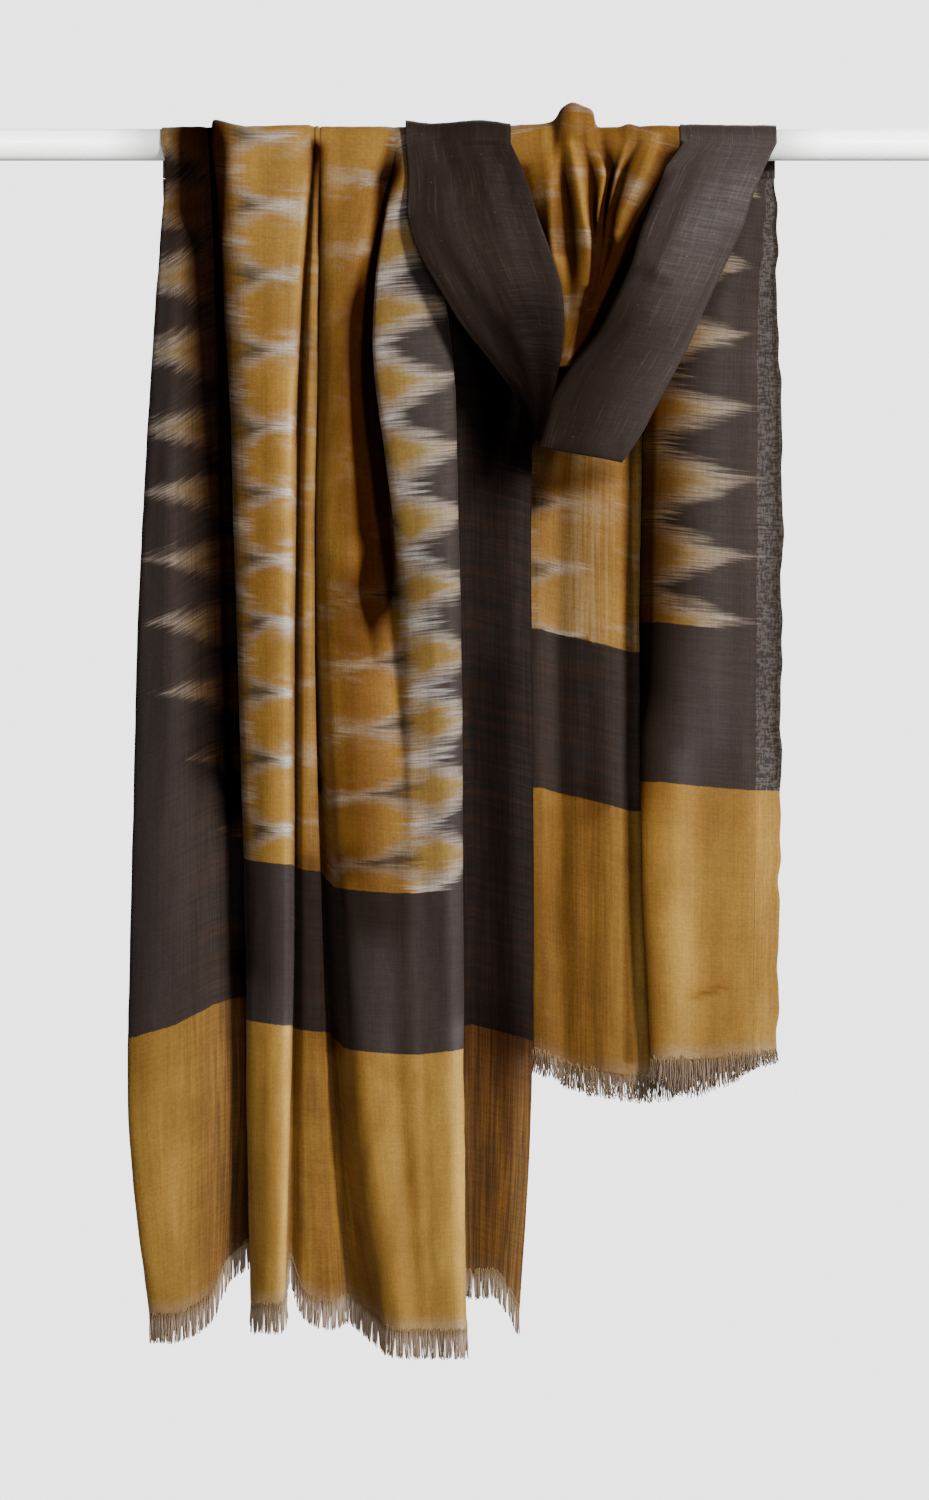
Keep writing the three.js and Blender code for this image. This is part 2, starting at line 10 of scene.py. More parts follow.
import bpy
import numpy as np
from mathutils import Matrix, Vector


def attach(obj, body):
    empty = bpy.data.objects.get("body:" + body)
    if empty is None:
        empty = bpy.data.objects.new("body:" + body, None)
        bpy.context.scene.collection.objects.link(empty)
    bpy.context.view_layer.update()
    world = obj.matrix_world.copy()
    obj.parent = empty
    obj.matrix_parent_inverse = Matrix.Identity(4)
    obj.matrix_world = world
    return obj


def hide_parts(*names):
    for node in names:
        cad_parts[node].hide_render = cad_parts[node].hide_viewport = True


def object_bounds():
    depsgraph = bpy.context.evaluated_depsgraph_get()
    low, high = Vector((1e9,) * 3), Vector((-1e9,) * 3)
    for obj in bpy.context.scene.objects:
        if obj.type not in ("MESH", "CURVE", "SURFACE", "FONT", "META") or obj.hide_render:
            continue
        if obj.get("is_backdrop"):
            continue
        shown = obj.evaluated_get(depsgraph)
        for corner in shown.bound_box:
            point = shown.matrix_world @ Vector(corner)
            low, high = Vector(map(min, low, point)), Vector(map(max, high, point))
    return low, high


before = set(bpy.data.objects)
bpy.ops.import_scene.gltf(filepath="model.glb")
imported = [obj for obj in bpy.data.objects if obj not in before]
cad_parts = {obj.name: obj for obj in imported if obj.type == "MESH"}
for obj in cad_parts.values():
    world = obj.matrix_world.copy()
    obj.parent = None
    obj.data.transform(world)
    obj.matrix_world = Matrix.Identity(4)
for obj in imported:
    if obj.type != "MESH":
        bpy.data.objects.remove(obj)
cad_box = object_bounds()

# ---- driving dimensions, in millimetres, as in the CAD ----
ROD_RADIUS = 12.5
CAD_CLOTH = 1.2
SEAM = 0.3
ON_ROD = ROD_RADIUS + 0.5 + CAD_CLOTH / 2
OVER_LAYER = ON_ROD + CAD_CLOTH + SEAM
FRONT_BULGE = 0.45
BACK_DROP = 25
TUCK = 6  # how far the right end reaches up behind the band
BEHIND = 1.3  # how far behind it lies there

SHELL = 0.45  # thickness of the cloth as it is seen
FINE = 5  # pieces across between two fold lines
ARC_ROWS = 22
DROP_ROWS = 5
STEEP_RUN = 60  # a crease that runs further than this along the cloth keeps to its fold lines
POINT_WIDTH = 0.3  # how narrow a pointed painted shade is at its ends
KNOTS = 64  # random numbers each way before a ripple repeats
RIPPLE_SEED = 100
SOFT_RIPPLE = 0.8
FINE_RIPPLE = 0.22

# ---- the shawl's pattern, along its length ----
BAND_HEIGHT = 125  # the charcoal band above each gold end
PERIOD = 53  # from one ikat tooth to the next
TEETH_BEYOND = 12  # teeth at this spacing beyond the first and last tips
PLAIN_BORDER = -3.0  # ikat place of a plain border
GATHER_IKAT = 1.3  # ikat place of the gathers: just inside the field
FAR_ABOVE = 1000  # where a stretch has no gold end
SELVEDGE = 19  # width of the openly woven strip along the short end's selvedge
SELVEDGE_WAVE = {"size": 17, "depth": 1.6, "seed": 71}
STRIP_LINE = 0.83  # where that strip ends, between the short end's first two fold lines
STRIP_EDGE = 0.01  # how sharply it ends there
OPEN_WEAVE = 1.6  # how that strip is told apart: its sheer, the painted see-through shade, is above 1
WALL_SHARE = 0.5  # share of the painted light of the bright wall that shows in the short end's field, times its sheer
END_SHARE = 0.45  # share of the painted shade of the dark behind that shows in its gold end, times its sheer

LEFT_LEVELS = [0, -150, -350, -600, -760, -900]
GATHER_LEVELS = [0, -25, -55, -80, -113, -140, -175]
RIGHT_LEVELS = [-BACK_DROP + TUCK, -130, -250, -540, -715]
LEFT_ROWS = 220
GATHER_ROWS = 90
FLAP_ROWS = 80
FLAP_COLUMNS = 60
BAND_ROWS = 90
BAND_FINE = 12
RIGHT_ROWS = 200
LOOP_ROWS = 60
LOOP_COLUMNS = 120

FLAP_BULGES = [4, 1.5, 3, 4, 1]
BAND_TOP = {"x": [168, 171, 183, 205, 243], "bulge": [1, 1, 1, 0.6, 0.3]}
BAND_ROLL = 7
BAND_LIFT = 1.2  # the band lies on the edge of the gathers where it goes over the rod
BAND_SHARES = {"under_depth": 0.6, "shoulder": 0.12, "middle": 0.5}
LOOP_DROP = [210, 150]
LOOP_DEPTH = [34, 7]
LOOP_DEEPEST = 1.8
LOOP_WAVES = {"count": 4, "depth": 4}
LOOP_TEETH = {"into": 60, "out": 70}
LOOP_END = 108


def table(names, rows):
    """Rows with named columns: one dict for each row."""
    return [dict(zip(names.split(), row)) for row in rows]


# One row for each fold line or section, as in the CAD: x at each level, and y at all but the top one.
# gold: height of the line below which the end is gold. sheer: how much painted shade of the dark behind
# shows through, 1 where it is a single layer, or, below 0, how much painted light of the bright wall.
LEFT_LINES = table("line bulge hem gold sheer x y", [
    ("selvedge, turned under", 0, -895, -694, 0.2,
     [-236, -208, -206, -203, -206, -209], [-6, -3, -3, -3, -3]),
    ("turned-under border", 0, -906, -697, 0.1,
     [-233.5, -226, -230, -231, -234, -231], [-6, -3, -3, -3, -3]),
    ("left edge", 0, -912, -697, 0, [-231, -241, -252, -258.5, -260, -245], [-12, -9, -9, -9, -9]),
    ("first fold, edge", 0.2, -912, -695, 0,
     [-228, -237, -246, -252, -254, -240], [-17, -16, -16, -16, -15]),
    ("first fold, face", 0.4, -911, -686, 0.1,
     [-218, -223, -226, -226, -225, -222], [-20, -21, -21, -20, -19]),
    ("first fold, right", 0.6, -896, -670, 0.5,
     [-206, -206, -202, -197, -195, -197], [-17, -17, -17, -16, -15]),
    ("first valley", 0, -867, -665, 1, [-200, -195, -186, -181, -178, -184], [-11, -8, -8, -8, -7]),
    ("first valley, under", 0, -857, -664.5, 1,
     [-197, -186, -170, -163, -160, -163], [-8, -4, -4, -4, -3]),
    ("second fold, left edge", 6, -900, -681, 0.3,
     [-194, -184, -178, -170, -169, -166], [-19, -20, -20, -19, -18]),
    ("second fold, face", 1, -903, -683.5, 0,
     [-171, -167, -163, -158, -158, -158], [-27, -30, -30, -29, -28]),
    ("second fold, ridge", 2, -903, -685.5, 0,
     [-128, -136, -141, -140, -142, -144], [-30, -34, -34, -33, -33]),
    ("second fold, right", 1, -896, -685.5, 0,
     [-119, -130, -134.5, -134.5, -136, -139], [-25, -27, -27, -27, -27]),
    ("second valley", 0.3, -866, -688, 0.5,
     [-117, -127, -131, -132, -134.5, -136], [-13, -11, -11, -11, -11]),
    ("third fold, face", 1, -894, -690, 0.2,
     [-115.5, -121, -125, -125, -124, -124], [-21, -20, -20, -19, -18]),
    ("third fold, right", 1, -902, -691, 0.3,
     [-114, -116, -119, -114, -109, -103], [-19, -18, -18, -17, -17]),
    ("third valley", 0, -898, -692, 0.7, [-112.5, -115, -118, -110, -101, -90], [-8, -5, -5, -6, -7]),
    ("fourth fold, left edge", 0.8, -915, -703.5, 0.2,
     [-110.5, -111, -113.5, -100, -89, -67.5], [-16, -16, -16, -19, -22]),
    ("fourth fold, face", 0.6, -920, -704.5, 0,
     [-100, -102, -104, -93, -81.5, -61], [-24, -25, -27, -29, -30]),
    ("fourth fold, ridge", 0.6, -922, -706, 0, [-74, -91, -89, -80, -69, -52], [-25, -27, -31, -33, -34]),
    ("fourth fold, right", 0.4, -923, -707, 0, [-60, -84, -78, -66, -58, -44], [-18, -18, -31, -33, -34]),
    ("brown valley", 0, -923, -708, 0, [-55, -75, -64, -54, -47.5, -36.5], [-9, -8, -30, -32, -33]),
    ("brown valley, under", 0, -923, -708, 0, [-53.5, -62, -54, -44, -39, -30], [-10, -8, -30, -32, -33]),
    ("fifth fold, left edge", 0.2, -923, -708, 0,
     [-51, -71, -47, -36, -31, -23], [-22, -20, -31, -32, -33]),
    ("fifth fold, face", 0.2, -923, -706.5, 0, [-48, -49, -32, -24, -21, -14], [-30, -30, -33, -35, -35]),
    ("fifth fold, ridge", 0.2, -922, -705, 0,
     [-45.5, -21, -13, -10, -8, -3.5], [-30, -34, -35, -36, -36]),
    ("fifth fold, right edge", 0.1, -919, -703.5, 0,
     [-43.5, -11, -3.5, -1, -0.5, 2], [-24, -26, -27, -27, -28]),
    ("fourth valley", 0, -880, -690, 0.7, [-41.5, -19, -13, -10, -10, -8], [-13, -12, -12, -12, -13]),
    ("right panel, left", 0, -879, -685.5, 1, [-27, -2, 4, 6, 6, 6], [-11, -8, -8, -8, -9]),
    ("right panel, middle", 0, -880, -692.5, 1, [-2, 28, 31, 33, 31.6, 26], [-12, -11, -11, -12, -12]),
    ("right selvedge", 0, -908, -699, 1, [21, 49.5, 52, 54, 51.5, 43], [-9, -8, -8, -9, -10]),
])

FLAP_SECTIONS = table("z left right y", [
    (0, -46, 36, [-17, -16, -15.5]),
    (-25, -44, 47, [-20, -23, -20]),
    (-58, -44, 57, [-29, -35, -28]),
    (-86, -36, 67, [-36, -43, -34]),
    (-113, -21, 75, [-42, -50, -40]),
    (-144, -2, 77, [-46, -54, -44]),
    (-172, 20, 74, [-48, -55, -46]),
    (-199, 39, 68, [-48, -53, -47]),
    (-222, 46, 62, [-47, -51, -47]),
    (-240.5, 46.5, 50.5, [-46, -48, -47]),
])

GATHER_LINES = table("line bulge x y", [
    ("under the flap", 0.5, [27, 34, 47, 56, 64, 68, 69], [-14.5, -16, -20, -25, -28, -30]),
    ("first face", 2, [44, 50, 58, 63, 70, 72.5, 71.5], [-18, -20, -23, -27, -29, -31]),
    ("first ridge", 4, [67, 68, 67.5, 68.5, 74, 76, 73.5], [-24, -27, -28, -29, -30, -32]),
    ("first valley", 15, [76, 76, 79, 80, 81, 80, 75.5], [-19, -21, -24, -31, -32, -33]),
    ("second ridge", 19.5, [84, 88, 92, 96, 94, 87, 78], [-27, -30, -33, -34, -34, -34]),
    ("second valley", 16.5, [93, 98, 99, 99.5, 96.5, 88.5, 79.5], [-21, -24, -29, -33, -33.5, -34]),
    ("third ridge", 12.5, [100, 108, 103.5, 102, 98, 90, 81], [-25, -28, -28.5, -32.5, -33, -33.5]),
    ("fourth fold", 0.5, [104, 111, 106, 104, 99.5, 91.2, 82.5], [-18, -23, -27, -32, -32.6, -33]),
    ("third valley", 0, [119, 114, 108.5, 106, 101, 92.4, 84], [-16, -20, -25.5, -31.4, -32.2, -32.6]),
    ("fifth ridge", 2.5,
     [128, 118.5, 111.5, 108.5, 102.5, 93.6, 85.5], [-22, -23.5, -26, -31, -31.8, -32.2]),
    ("fourth valley", 0.8, [137, 124, 115, 111, 104, 95, 87], [-17.5, -20, -24.5, -30.4, -31.3, -31.8]),
    ("broad fold, ridge", 1.5,
     [151, 141, 126, 117, 106, 96.6, 89], [-24, -26, -27.5, -29.6, -30.7, -31.2]),
    ("broad fold, right", 1, [174, 161, 144, 131, 112, 101, 93], [-14.5, -18, -20, -25, -28, -30]),
])

BAND_SECTIONS = table("left right y", [
    ([62, -228], [117, -238], [-22, -23, -23, -22]),
    ([58, -235], [120, -246], [-28, -31, -31, -29]),
    ([57, -236], [123, -248], [-31, -39, -39, -35]),
    ([61, -218], [136, -229], [-32, -42, -43, -37]),
    ([69, -195], [148, -207], [-33, -44, -46, -38]),
    ([82, -174], [159, -186], [-34, -46, -48, -38]),
    ([101, -150], [173, -160], [-34, -46, -48, -36]),
    ([117, -122], [187, -129], [-34, -44, -46, -33]),
    ([129, -96], [202, -97], [-32, -41, -43, -29]),
    ([136, -72], [216, -66], [-28, -37, -39, -25]),
    ([147, -44], [224, -42], [-22, -30, -31, -20]),
    ([157, -18], [234, -18], [-16, -20, -20, -16.5]),
])

RIGHT_LINES = table("line hem gold sheer x y", [
    ("right selvedge", -710, -504, 0.9, [243, 246, 249, 247.5, 244.5], [18, 19, 19, 18]),
    ("outer panel, right", -711.5, -503.5, 0.1, [235, 226, 224, 222.5, 221], [17, 17, 17, 17]),
    ("outer panel, middle", -714, -501, 0, [227, 199, 192, 190, 188], [16, 15, 15, 16]),
    ("outer panel, left", -715, -497, 0, [217, 168, 156, 154, 159], [16, 15, 15, 17]),
    ("outer fold edge", -716, -497, 0.1, [209, 146, 139, 137.7, 145.5], [20, 20, 20, 22]),
    ("behind, left", -718, -500, 0, [201, 156, 152.5, 152.5, 158.5], [26, 26, 26, 27]),
    ("behind, middle", -718, -505, 0.6, [193, 184, 193, 194.5, 193], [27, 28, 28, 29]),
    ("back fold, front", -717, -510, 0.6, [186.8, 211, 229, 229, 224], [29, 30, 30, 31]),
    ("back fold, rear", -718, -510, 0.6, [180.6, 209, 225, 225, 220], [36, 37, 37, 37]),
    ("inner panel, hidden", -722, -516, 0.6, [172.8, 187.6, 188, 190, 188], [38, 40, 40, 39]),
    ("inner panel, right", -727, -520, 0.1, [165, 162, 152.5, 154, 155.6], [38, 39, 39, 37]),
    ("narrow valley", -728, -520, 0.5, [155.6, 141, 131, 131, 132], [33, 33, 33, 32]),
    ("inner panel, crown", -725, -514, -0.75, [146, 125, 110, 110, 110], [29, 30, 30, 30]),
    ("inner panel, middle", -723, -509, -0.85, [137, 110, 90, 90, 91.5], [33, 33, 33, 33]),
    ("left valley", -718, -506, -0.25, [129, 98, 75, 75, 77.5], [37, 38, 38, 37]),
    ("inner panel, left", -712, -502, -0.3, [121, 88, 61, 63, 65], [33, 33, 33, 33]),
    ("left edge", -709, -501, -0.2, [116, 76, 48, 52.6, 53.5], [34, 35, 35, 35]),
    ("turned-under border", -711, -501, 0.5, [112, 88, 71, 74, 74], [42, 43, 43, 42]),
])

# ---- the ikat borders of each stretch ----
# line: (run, fold line) pairs of the ikat line. side: 1 where the field has the higher fold lines, else -1.
# out, into: how deep the teeth reach into the border and into the field, as (run, depth) pairs.
# tips: heights of the teeth, from the top. slope: rise of the weft to the right.
LEFT_BORDERS = [
    dict(line=[(-750, 8.0), (-350, 8.15), (0, 8.35), (60, 8.3)], side=1, slope=0.0,
         out=[(-600, 30), (-520, 42), (-470, 62), (-400, 90), (0, 98)],
         into=[(-750, 38), (-350, 42), (0, 45)],
         tips=[6, -49, -103, -162, -223, -272, -324, -373, -427, -480, -534]),
    dict(line=[(-750, 22.7), (-530, 22.8), (-425, 22.8), (-350, 22.4), (-250, 22.3), (0, 22.1), (60, 22)],
         side=-1, slope=0.1,
         out=[(-900, 44), (-600, 50), (-350, 55), (-150, 60)], into=[(-450, 66), (-340, 52), (-300, 26)],
         tips=[-27, -81, -134, -188, -243, -295, -348, -400, -451, -503, -555]),
]
RIGHT_BORDERS = [
    dict(line=[(0, 3.9)], side=1, slope=0.0, out=[(-250, 76), (-130, 68), (-25, 22)], into=[(0, 60)],
         tips=[-35, -92, -147, -204, -261, -319, -371]),
    dict(line=[(0, 16.4)], side=-1, slope=0.0, out=[(0, 60)], into=[(0, 46)],
         tips=[-60, -114, -168, -222, -276, -330]),
]
LOOP_BORDER = 95
WEFT_TILT = 0.35  # how much the gathers' weft droops away from their middle

# ---- creases: start and end as (fold line, run), width, depth (below 0 for a ridge) ----
LEFT_CREASES = [
    ((16.3, -377), (19.6, -392), 3.5, 1.6),
    ((16.6, -384), (19.0, -399), 4, -1.2),
    ((9.55, -60), (9.45, -880), 3.5, 1.4),
    ((9.0, -300), (8.6, -700), 5, -0.8),
    ((3.6, -20), (3.9, -520), 5, 1.2),
    ((4.6, -300), (4.3, -890), 6, -1.2),
    ((14.3, -30), (14.2, -640), 6, 1.4),
    ((17.4, -560), (17.8, -900), 6, 1.3),
    ((18.5, -40), (18.1, -330), 7, 0.7),
    ((19.5, -640), (20.3, -910), 6, -1.4),
    ((21.6, -420), (21.2, -900), 7, 0.8),
    ((23.5, -180), (23.3, -560), 5, 1.2),
    ((24.4, -90), (24.4, -700), 4, -0.9),
    ((28.2, -200), (28.3, -860), 7, 1.6),
    ((27.5, -420), (27.9, -880), 5, -1.1),
    ((9.2, -20), (9.6, -130), 6, 1.5),
    ((18.0, -720), (20.4, -738), 6, -0.8),
]
FLAP_CREASES = [
    ((1.1, 4), (2.0, -34), 7, -1.6),
    ((2.6, 10), (2.9, -110), 9, 2.0),
    ((0.5, -60), (1.4, -190), 9, -1.4),
    ((2.0, -90), (2.2, -215), 8, 1.4),
    ((3.3, -30), (3.4, -160), 7, -1.2),
]
GATHER_CREASES = [
    ((2.5, 5), (2.6, -110), 2.5, 1.2),
    ((4.4, 4), (4.5, -60), 2.5, 1.0),
    ((11.4, 6), (11.2, -70), 3, 1.0),
    ((10.6, -10), (10.5, -120), 2, -0.7),
]
BAND_CREASES = [
    ((2.0, -91), (2.9, -108), 4, 1.5),
    ((2.6, 0), (2.5, -215), 8, 1.6),
    ((3.2, -10), (3.3, -190), 7, -1.3),
    ((1.7, -40), (1.8, -225), 5, -0.9),
    ((3.7, -60), (3.6, -230), 6, 1.1),
]
RIGHT_CREASES = [
    ((1.6, -60), (1.5, -700), 7, 1.6),
    ((2.5, -150), (2.6, -690), 8, -1.4),
    ((3.4, -200), (3.3, -640), 6, 1.2),
    ((0.5, -80), (0.5, -690), 5, 1.0),
    ((1.4, -655), (2.6, -668), 4, 1.6),
    ((12.5, -320), (12.6, -700), 6, 1.5),
    ((13.6, -260), (13.4, -690), 7, -1.3),
    ((14.6, -330), (14.5, -690), 5, 1.2),
]

# ---- painted shade and painted highlights: start and end as (fold line, run), width, amount, edge and point ----
# amount darkens the colour where the cloth lies deep or in a fold's shadow; below 0 it is a painted
# highlight
LEFT_SHADOWS = [
    ((4.9, 30), (5.1, -480), 20, 0.85),
    ((4.0, 45), (4.0, -50), 24, 0.6),
    ((6.1, 0), (6.1, -520), 17, 0.8),
    ((5.9, -500), (6.1, -640), 15, 0.5),
    ((7.2, -10), (7.3, -680), 8, 0.7),
    ((6.6, -640), (6.8, -880), 16, 0.76),
    ((8.4, 20), (8.3, -640), 10, 0.5),
    ((9.5, 20), (9.4, -640), 18, 0.3),
    ((10.3, -180), (10.5, -690), 6, -0.4),
    ((10.5, -690), (10.6, -890), 6, -0.9),
    ((9.0, -700), (9.0, -890), 6, 0.25),
    ((12.0, 0), (12.0, -560), 4.5, 0.8),
    ((12.0, -560), (12.0, -880), 5, 0.35),
    ((13.5, -10), (13.8, -560), 8, 0.08),
    ((13.6, -560), (13.8, -890), 10, 0.4),
    ((15.0, -5), (15.0, -500), 6, 0.85),
    ((15.1, -500), (15.3, -700), 10, 0.55),
    ((15.4, -700), (15.9, -900), 12, 0.36),
    ((20.4, 24), (20.6, -190), 12, 1.1, 4, 0.25),
    ((19.9, -40), (19.9, -440), 20, 0.85, 6, 0.25),
    ((20.2, -70), (20.2, -390), 10, 0.5, 2, 0.2),
    ((19.1, -60), (19.2, -430), 24, 0.3, 4, 0.3),
    ((17.3, 20), (17.4, -560), 16, 0.36),
    ((18.3, -30), (18.5, -300), 13, 0.42),
    ((18.6, -350), (18.8, -600), 24, 0.72),
    ((17.0, -560), (17.2, -910), 16, 0.35),
    ((20.4, -560), (20.8, -910), 8, 0.22),
    ((24.2, -420), (24.4, -690), 9, -0.3),
    ((23.4, -160), (23.6, -420), 12, -0.2),
    ((24.5, -690), (24.6, -915), 10, -0.9),
    ((22.6, -720), (22.8, -915), 12, -0.15),
    ((26.2, 0), (26.2, -880), 7, 0.55),
    ((27.5, -90), (27.9, -250), 30, 0.55),
    ((28, 0), (28, -690), 60, 0.56),
    ((28, -10), (28, -200), 60, 0.2),
    ((27.6, -420), (27.8, -690), 24, 0.26),
    ((28, -690), (28, -860), 40, 0.2),
    ((28.6, -720), (28.7, -890), 9, -0.5),
    ((14, -570), (14, -688), 20, 0.3),
    ((6.8, -560), (6.8, -660), 20, 0.3),
    ((4.0, -700), (4.0, -900), 16, -0.12),
]
FLAP_SHADOWS = [
    ((2, 30), (2, -240), 80, 0.7),
    ((3.6, 0), (3.5, -240), 15, 0.25),
    ((2.5, -140), (2.4, -250), 30, 0.35),
    ((1.4, -40), (1.5, -130), 9, -0.2),
    ((0.1, -60), (0.2, -230), 5, 0.3),
]
GATHER_SHADOWS = [
    ((6, 40), (6, -175), 120, 0.73),
    ((3, 24), (3.3, -160), 6, 0.9, 2, 0.4),
    ((5, 20), (5.3, -150), 5, 1.0, 2, 0.4),
    ((7.3, 24), (8.1, -140), 8, 1.1, 2, 0.4),
    ((9.9, 24), (10, -135), 5, 0.9, 2, 0.4),
    ((11.9, -14), (12, -170), 15, 1.1),
    ((1.7, 14), (2.1, -140), 9, 0.5, 2, 0.5),
    ((0.9, -20), (0.6, -170), 5, 0.6),
    ((6, -130), (6, -175), 20, 0.2),
    ((1.9, 10), (2.0, -90), 3.5, -0.45),
    ((4, 0), (4.1, -110), 3, -0.55),
    ((6, -20), (6.1, -100), 2.5, -0.45),
    ((8.9, 0), (8.8, -90), 2.5, -0.4),
    ((10.9, 4), (10.8, -70), 4, -0.5),
    ((2.4, -95), (3.4, -172), 8, -0.5),
]
BAND_SHADOWS = [
    ((2.5, -150), (2.5, -245), 40, 0.7),
    ((1.0, -30), (0.9, -230), 6, 0.7),
    ((2.2, 0), (2.4, -240), 60, 0.06),
    ((1.9, -100), (2.9, -112), 5, 0.25),
    ((3.4, 0), (3.3, -130), 12, -0.14),
]
RIGHT_SHADOWS = [
    ((3.9, -40), (3.9, -712), 8, 0.75),
    ((3.0, -60), (3.2, -420), 28, 0.5),
    ((3.2, -100), (3.2, -495), 26, 0.5),
    ((2.55, -480), (2.55, -712), 9, -0.5),
    ((1.75, -480), (1.75, -712), 14, 0.2),
    ((0.6, -480), (0.5, -705), 13, -0.24),
    ((1.4, -510), (1.4, -712), 40, 0.16),
    ((1.4, -656), (2.6, -669), 2.4, 0.5, 2, 0.4),
    ((11.1, -100), (11.1, -716), 2.6, 0.9),
    ((10.6, -515), (10.6, -722), 8, -0.4),
    ((10.7, -225), (10.7, -505), 7, -0.9),
    ((12.6, -19), (13.4, -140), 60, 1.2),
    ((15.0, -19), (15.4, -205), 20, 1.3),
    ((14, -230), (14, -720), 70, 0.6),
    ((14, -405), (14, -480), 50, -0.22),
    ((2.2, -120), (2.2, -370), 40, 0.16),
    ((2.2, -400), (2.2, -485), 30, -0.16),
    ((12, -256), (16, -268), 14, 0.45),
    ((12.5, -500), (12.4, -520), 12, 0.3),
    ((0.12, -30), (0.12, -495), 2, 0.9),
]

# ---- fringes ----
ON_CLOTH = 0.5  # how far in front of the cloth's middle, or behind it, a thread leaves the hem
THREAD_TIP = 0.75  # a thread's thickness at its tip, next to its root
LEFT_FRINGE = dict(
    spacing=0.3, tuft=6.5, gather=0.22, lean=0.9, spread=0.35, depth=1.6, length=21, curl=0.45, steps=5,
    radius=(0.36, 0.52), uneven=0.12, rise=3.5, tones=(0.38, 1), lengths=([0, 1], [1, 1]),
)
RIGHT_FRINGE = dict(
    spacing=0.36, tuft=5.4, gather=0.9, lean=3.0, spread=0.3, depth=1.6, length=25, curl=1.3, steps=7,
    radius=(0.44, 0.66), uneven=0.2, rise=4.5, tones=(0, 0.5),
    lengths=([0, 0.04, 0.1, 0.17, 0.22, 0.3, 0.55, 0.66, 0.8, 0.93, 1],
             [0.25, 0.42, 0.85, 1.2, 1.05, 0.25, 0.25, 0.86, 0.8, 0.66, 0.45]),
)

# ---- colours, as sRGB ----
GOLD = "#8c6929"
GOLD_DEEP = "#6c460f"
CHARCOAL = "#2f2521"
CHARCOAL_DEEP = "#201814"
BROWN = "#4b3c27"
OFF_WHITE = "#aba29a"
TAUPE_WHITE = "#8a7c6f"
# WALL_LIGHT: painted light of the bright wall seen through a single layer. WARM_DARK: painted warm light of
# the gold behind, shining through a single layer
WALL_LIGHT = "#a8987c"
WARM_DARK = "#4b3217"
OLIVE = "#6d5d33"
YARN_DARK = "#543e27"
YARN_PALE = "#a68f78"
YARN_ROOT = "#7a6038"
ROD_WHITE = "#f0efed"
ROD_SHADE = "#ecebe9"
FLOOR_GREY = "#e6e4e4"
FLOOR_SHADE = "#e3e1e1"
BACKGROUND = "#e5e3e4"
AMBIENT = "#f4f4f6"

# ---- how the cloth takes the light, and the painted shade and painted light in its colour ----
SEEN_THROUGH = 0.58  # painted shade: how much darker a single layer is for the dark that lies behind it
# how strongly the painted shade of the shadow tables darkens the colour, and the least of it that it leaves
SHADOW_DEPTH = 0.74
DARKEST = 0.05
WORN_HEM = 16.0  # how far above the fringe the dye is worn, in millimetres
SHADE_POWERS = (1.0, 1.25, 1.65)  # red, green and blue: painted shade looks warmer, and painted highlights yellower
CLOTH_SHADER = {"Roughness": 0.7, "Sheen_Roughness": 0.5}


# ---- curves, surfaces and noise ----

def along(values, t):
    """A smooth curve through evenly indexed values (first axis), read at the places t."""
    values = np.asarray(values, float)
    last = len(values) - 1
    t = np.atleast_1d(np.asarray(t, float))
    i = np.clip(np.floor(t).astype(int), 0, last - 1)
    f = (t - i).reshape(t.shape + (1,) * (values.ndim - 1))
    a, b, c, d = (values[np.clip(i + k, 0, last)] for k in (-1, 0, 1, 2))
    square = 2 * a - 5 * b + 4 * c - d
    cube = 3 * b - a - 3 * c + d
    return 0.5 * (2 * b + (c - a) * f + square * f ** 2 + cube * f ** 3)


def mix(a, b, f):
    return a + (b - a) * f


def ease(f):
    f = np.clip(f, 0, 1)
    return f * f * (3 - 2 * f)


def read(pairs, place):
    """The value at a place, read between (place, value) pairs."""
    places, values = zip(*sorted(pairs))
    return np.interp(place, places, values)


def ripple(u, v, size_u, size_v, seed):
    """Smooth noise from -1 to 1, with features of these sizes along u and v."""
    knots = np.random.default_rng(seed).uniform(-1, 1, (KNOTS, KNOTS))
    x, y = np.asarray(u) / size_u + 1000, np.asarray(v) / size_v + 1000
    i, j = np.floor(x).astype(int), np.floor(y).astype(int)
    f, g = ease(x - i), ease(y - j)
    corner = lambda a, b: knots[(i + a) % KNOTS, (j + b) % KNOTS]
    return mix(mix(corner(0, 0), corner(1, 0), f), mix(corner(0, 1), corner(1, 1), f), g)


def normals(points):
    down = np.gradient(points, axis=0)
    across = np.gradient(points, axis=1)
    normal = np.cross(down, across)
    return normal / np.maximum(np.linalg.norm(normal, axis=2, keepdims=True), 1e-9)


def arc_lengths(points, axis):
    """How far each point lies from the first, measured along the surface in one direction."""
    lengths = np.linalg.norm(np.diff(points, axis=axis), axis=2)
    start = np.zeros_like(np.take(lengths, [0], axis=axis))
    return np.concatenate([start, np.cumsum(lengths, axis=axis)], axis=axis)


def place_on(row, shares):
    """Places along a row of points, by their shares of its length."""
    ends = arc_lengths(row[None], 1)[0]
    return np.stack([np.interp(shares * ends[-1], ends, row[:, k]) for k in range(3)], axis=1)


# ---- a stretch of cloth: a grid of points with what the pattern needs to know at each ----

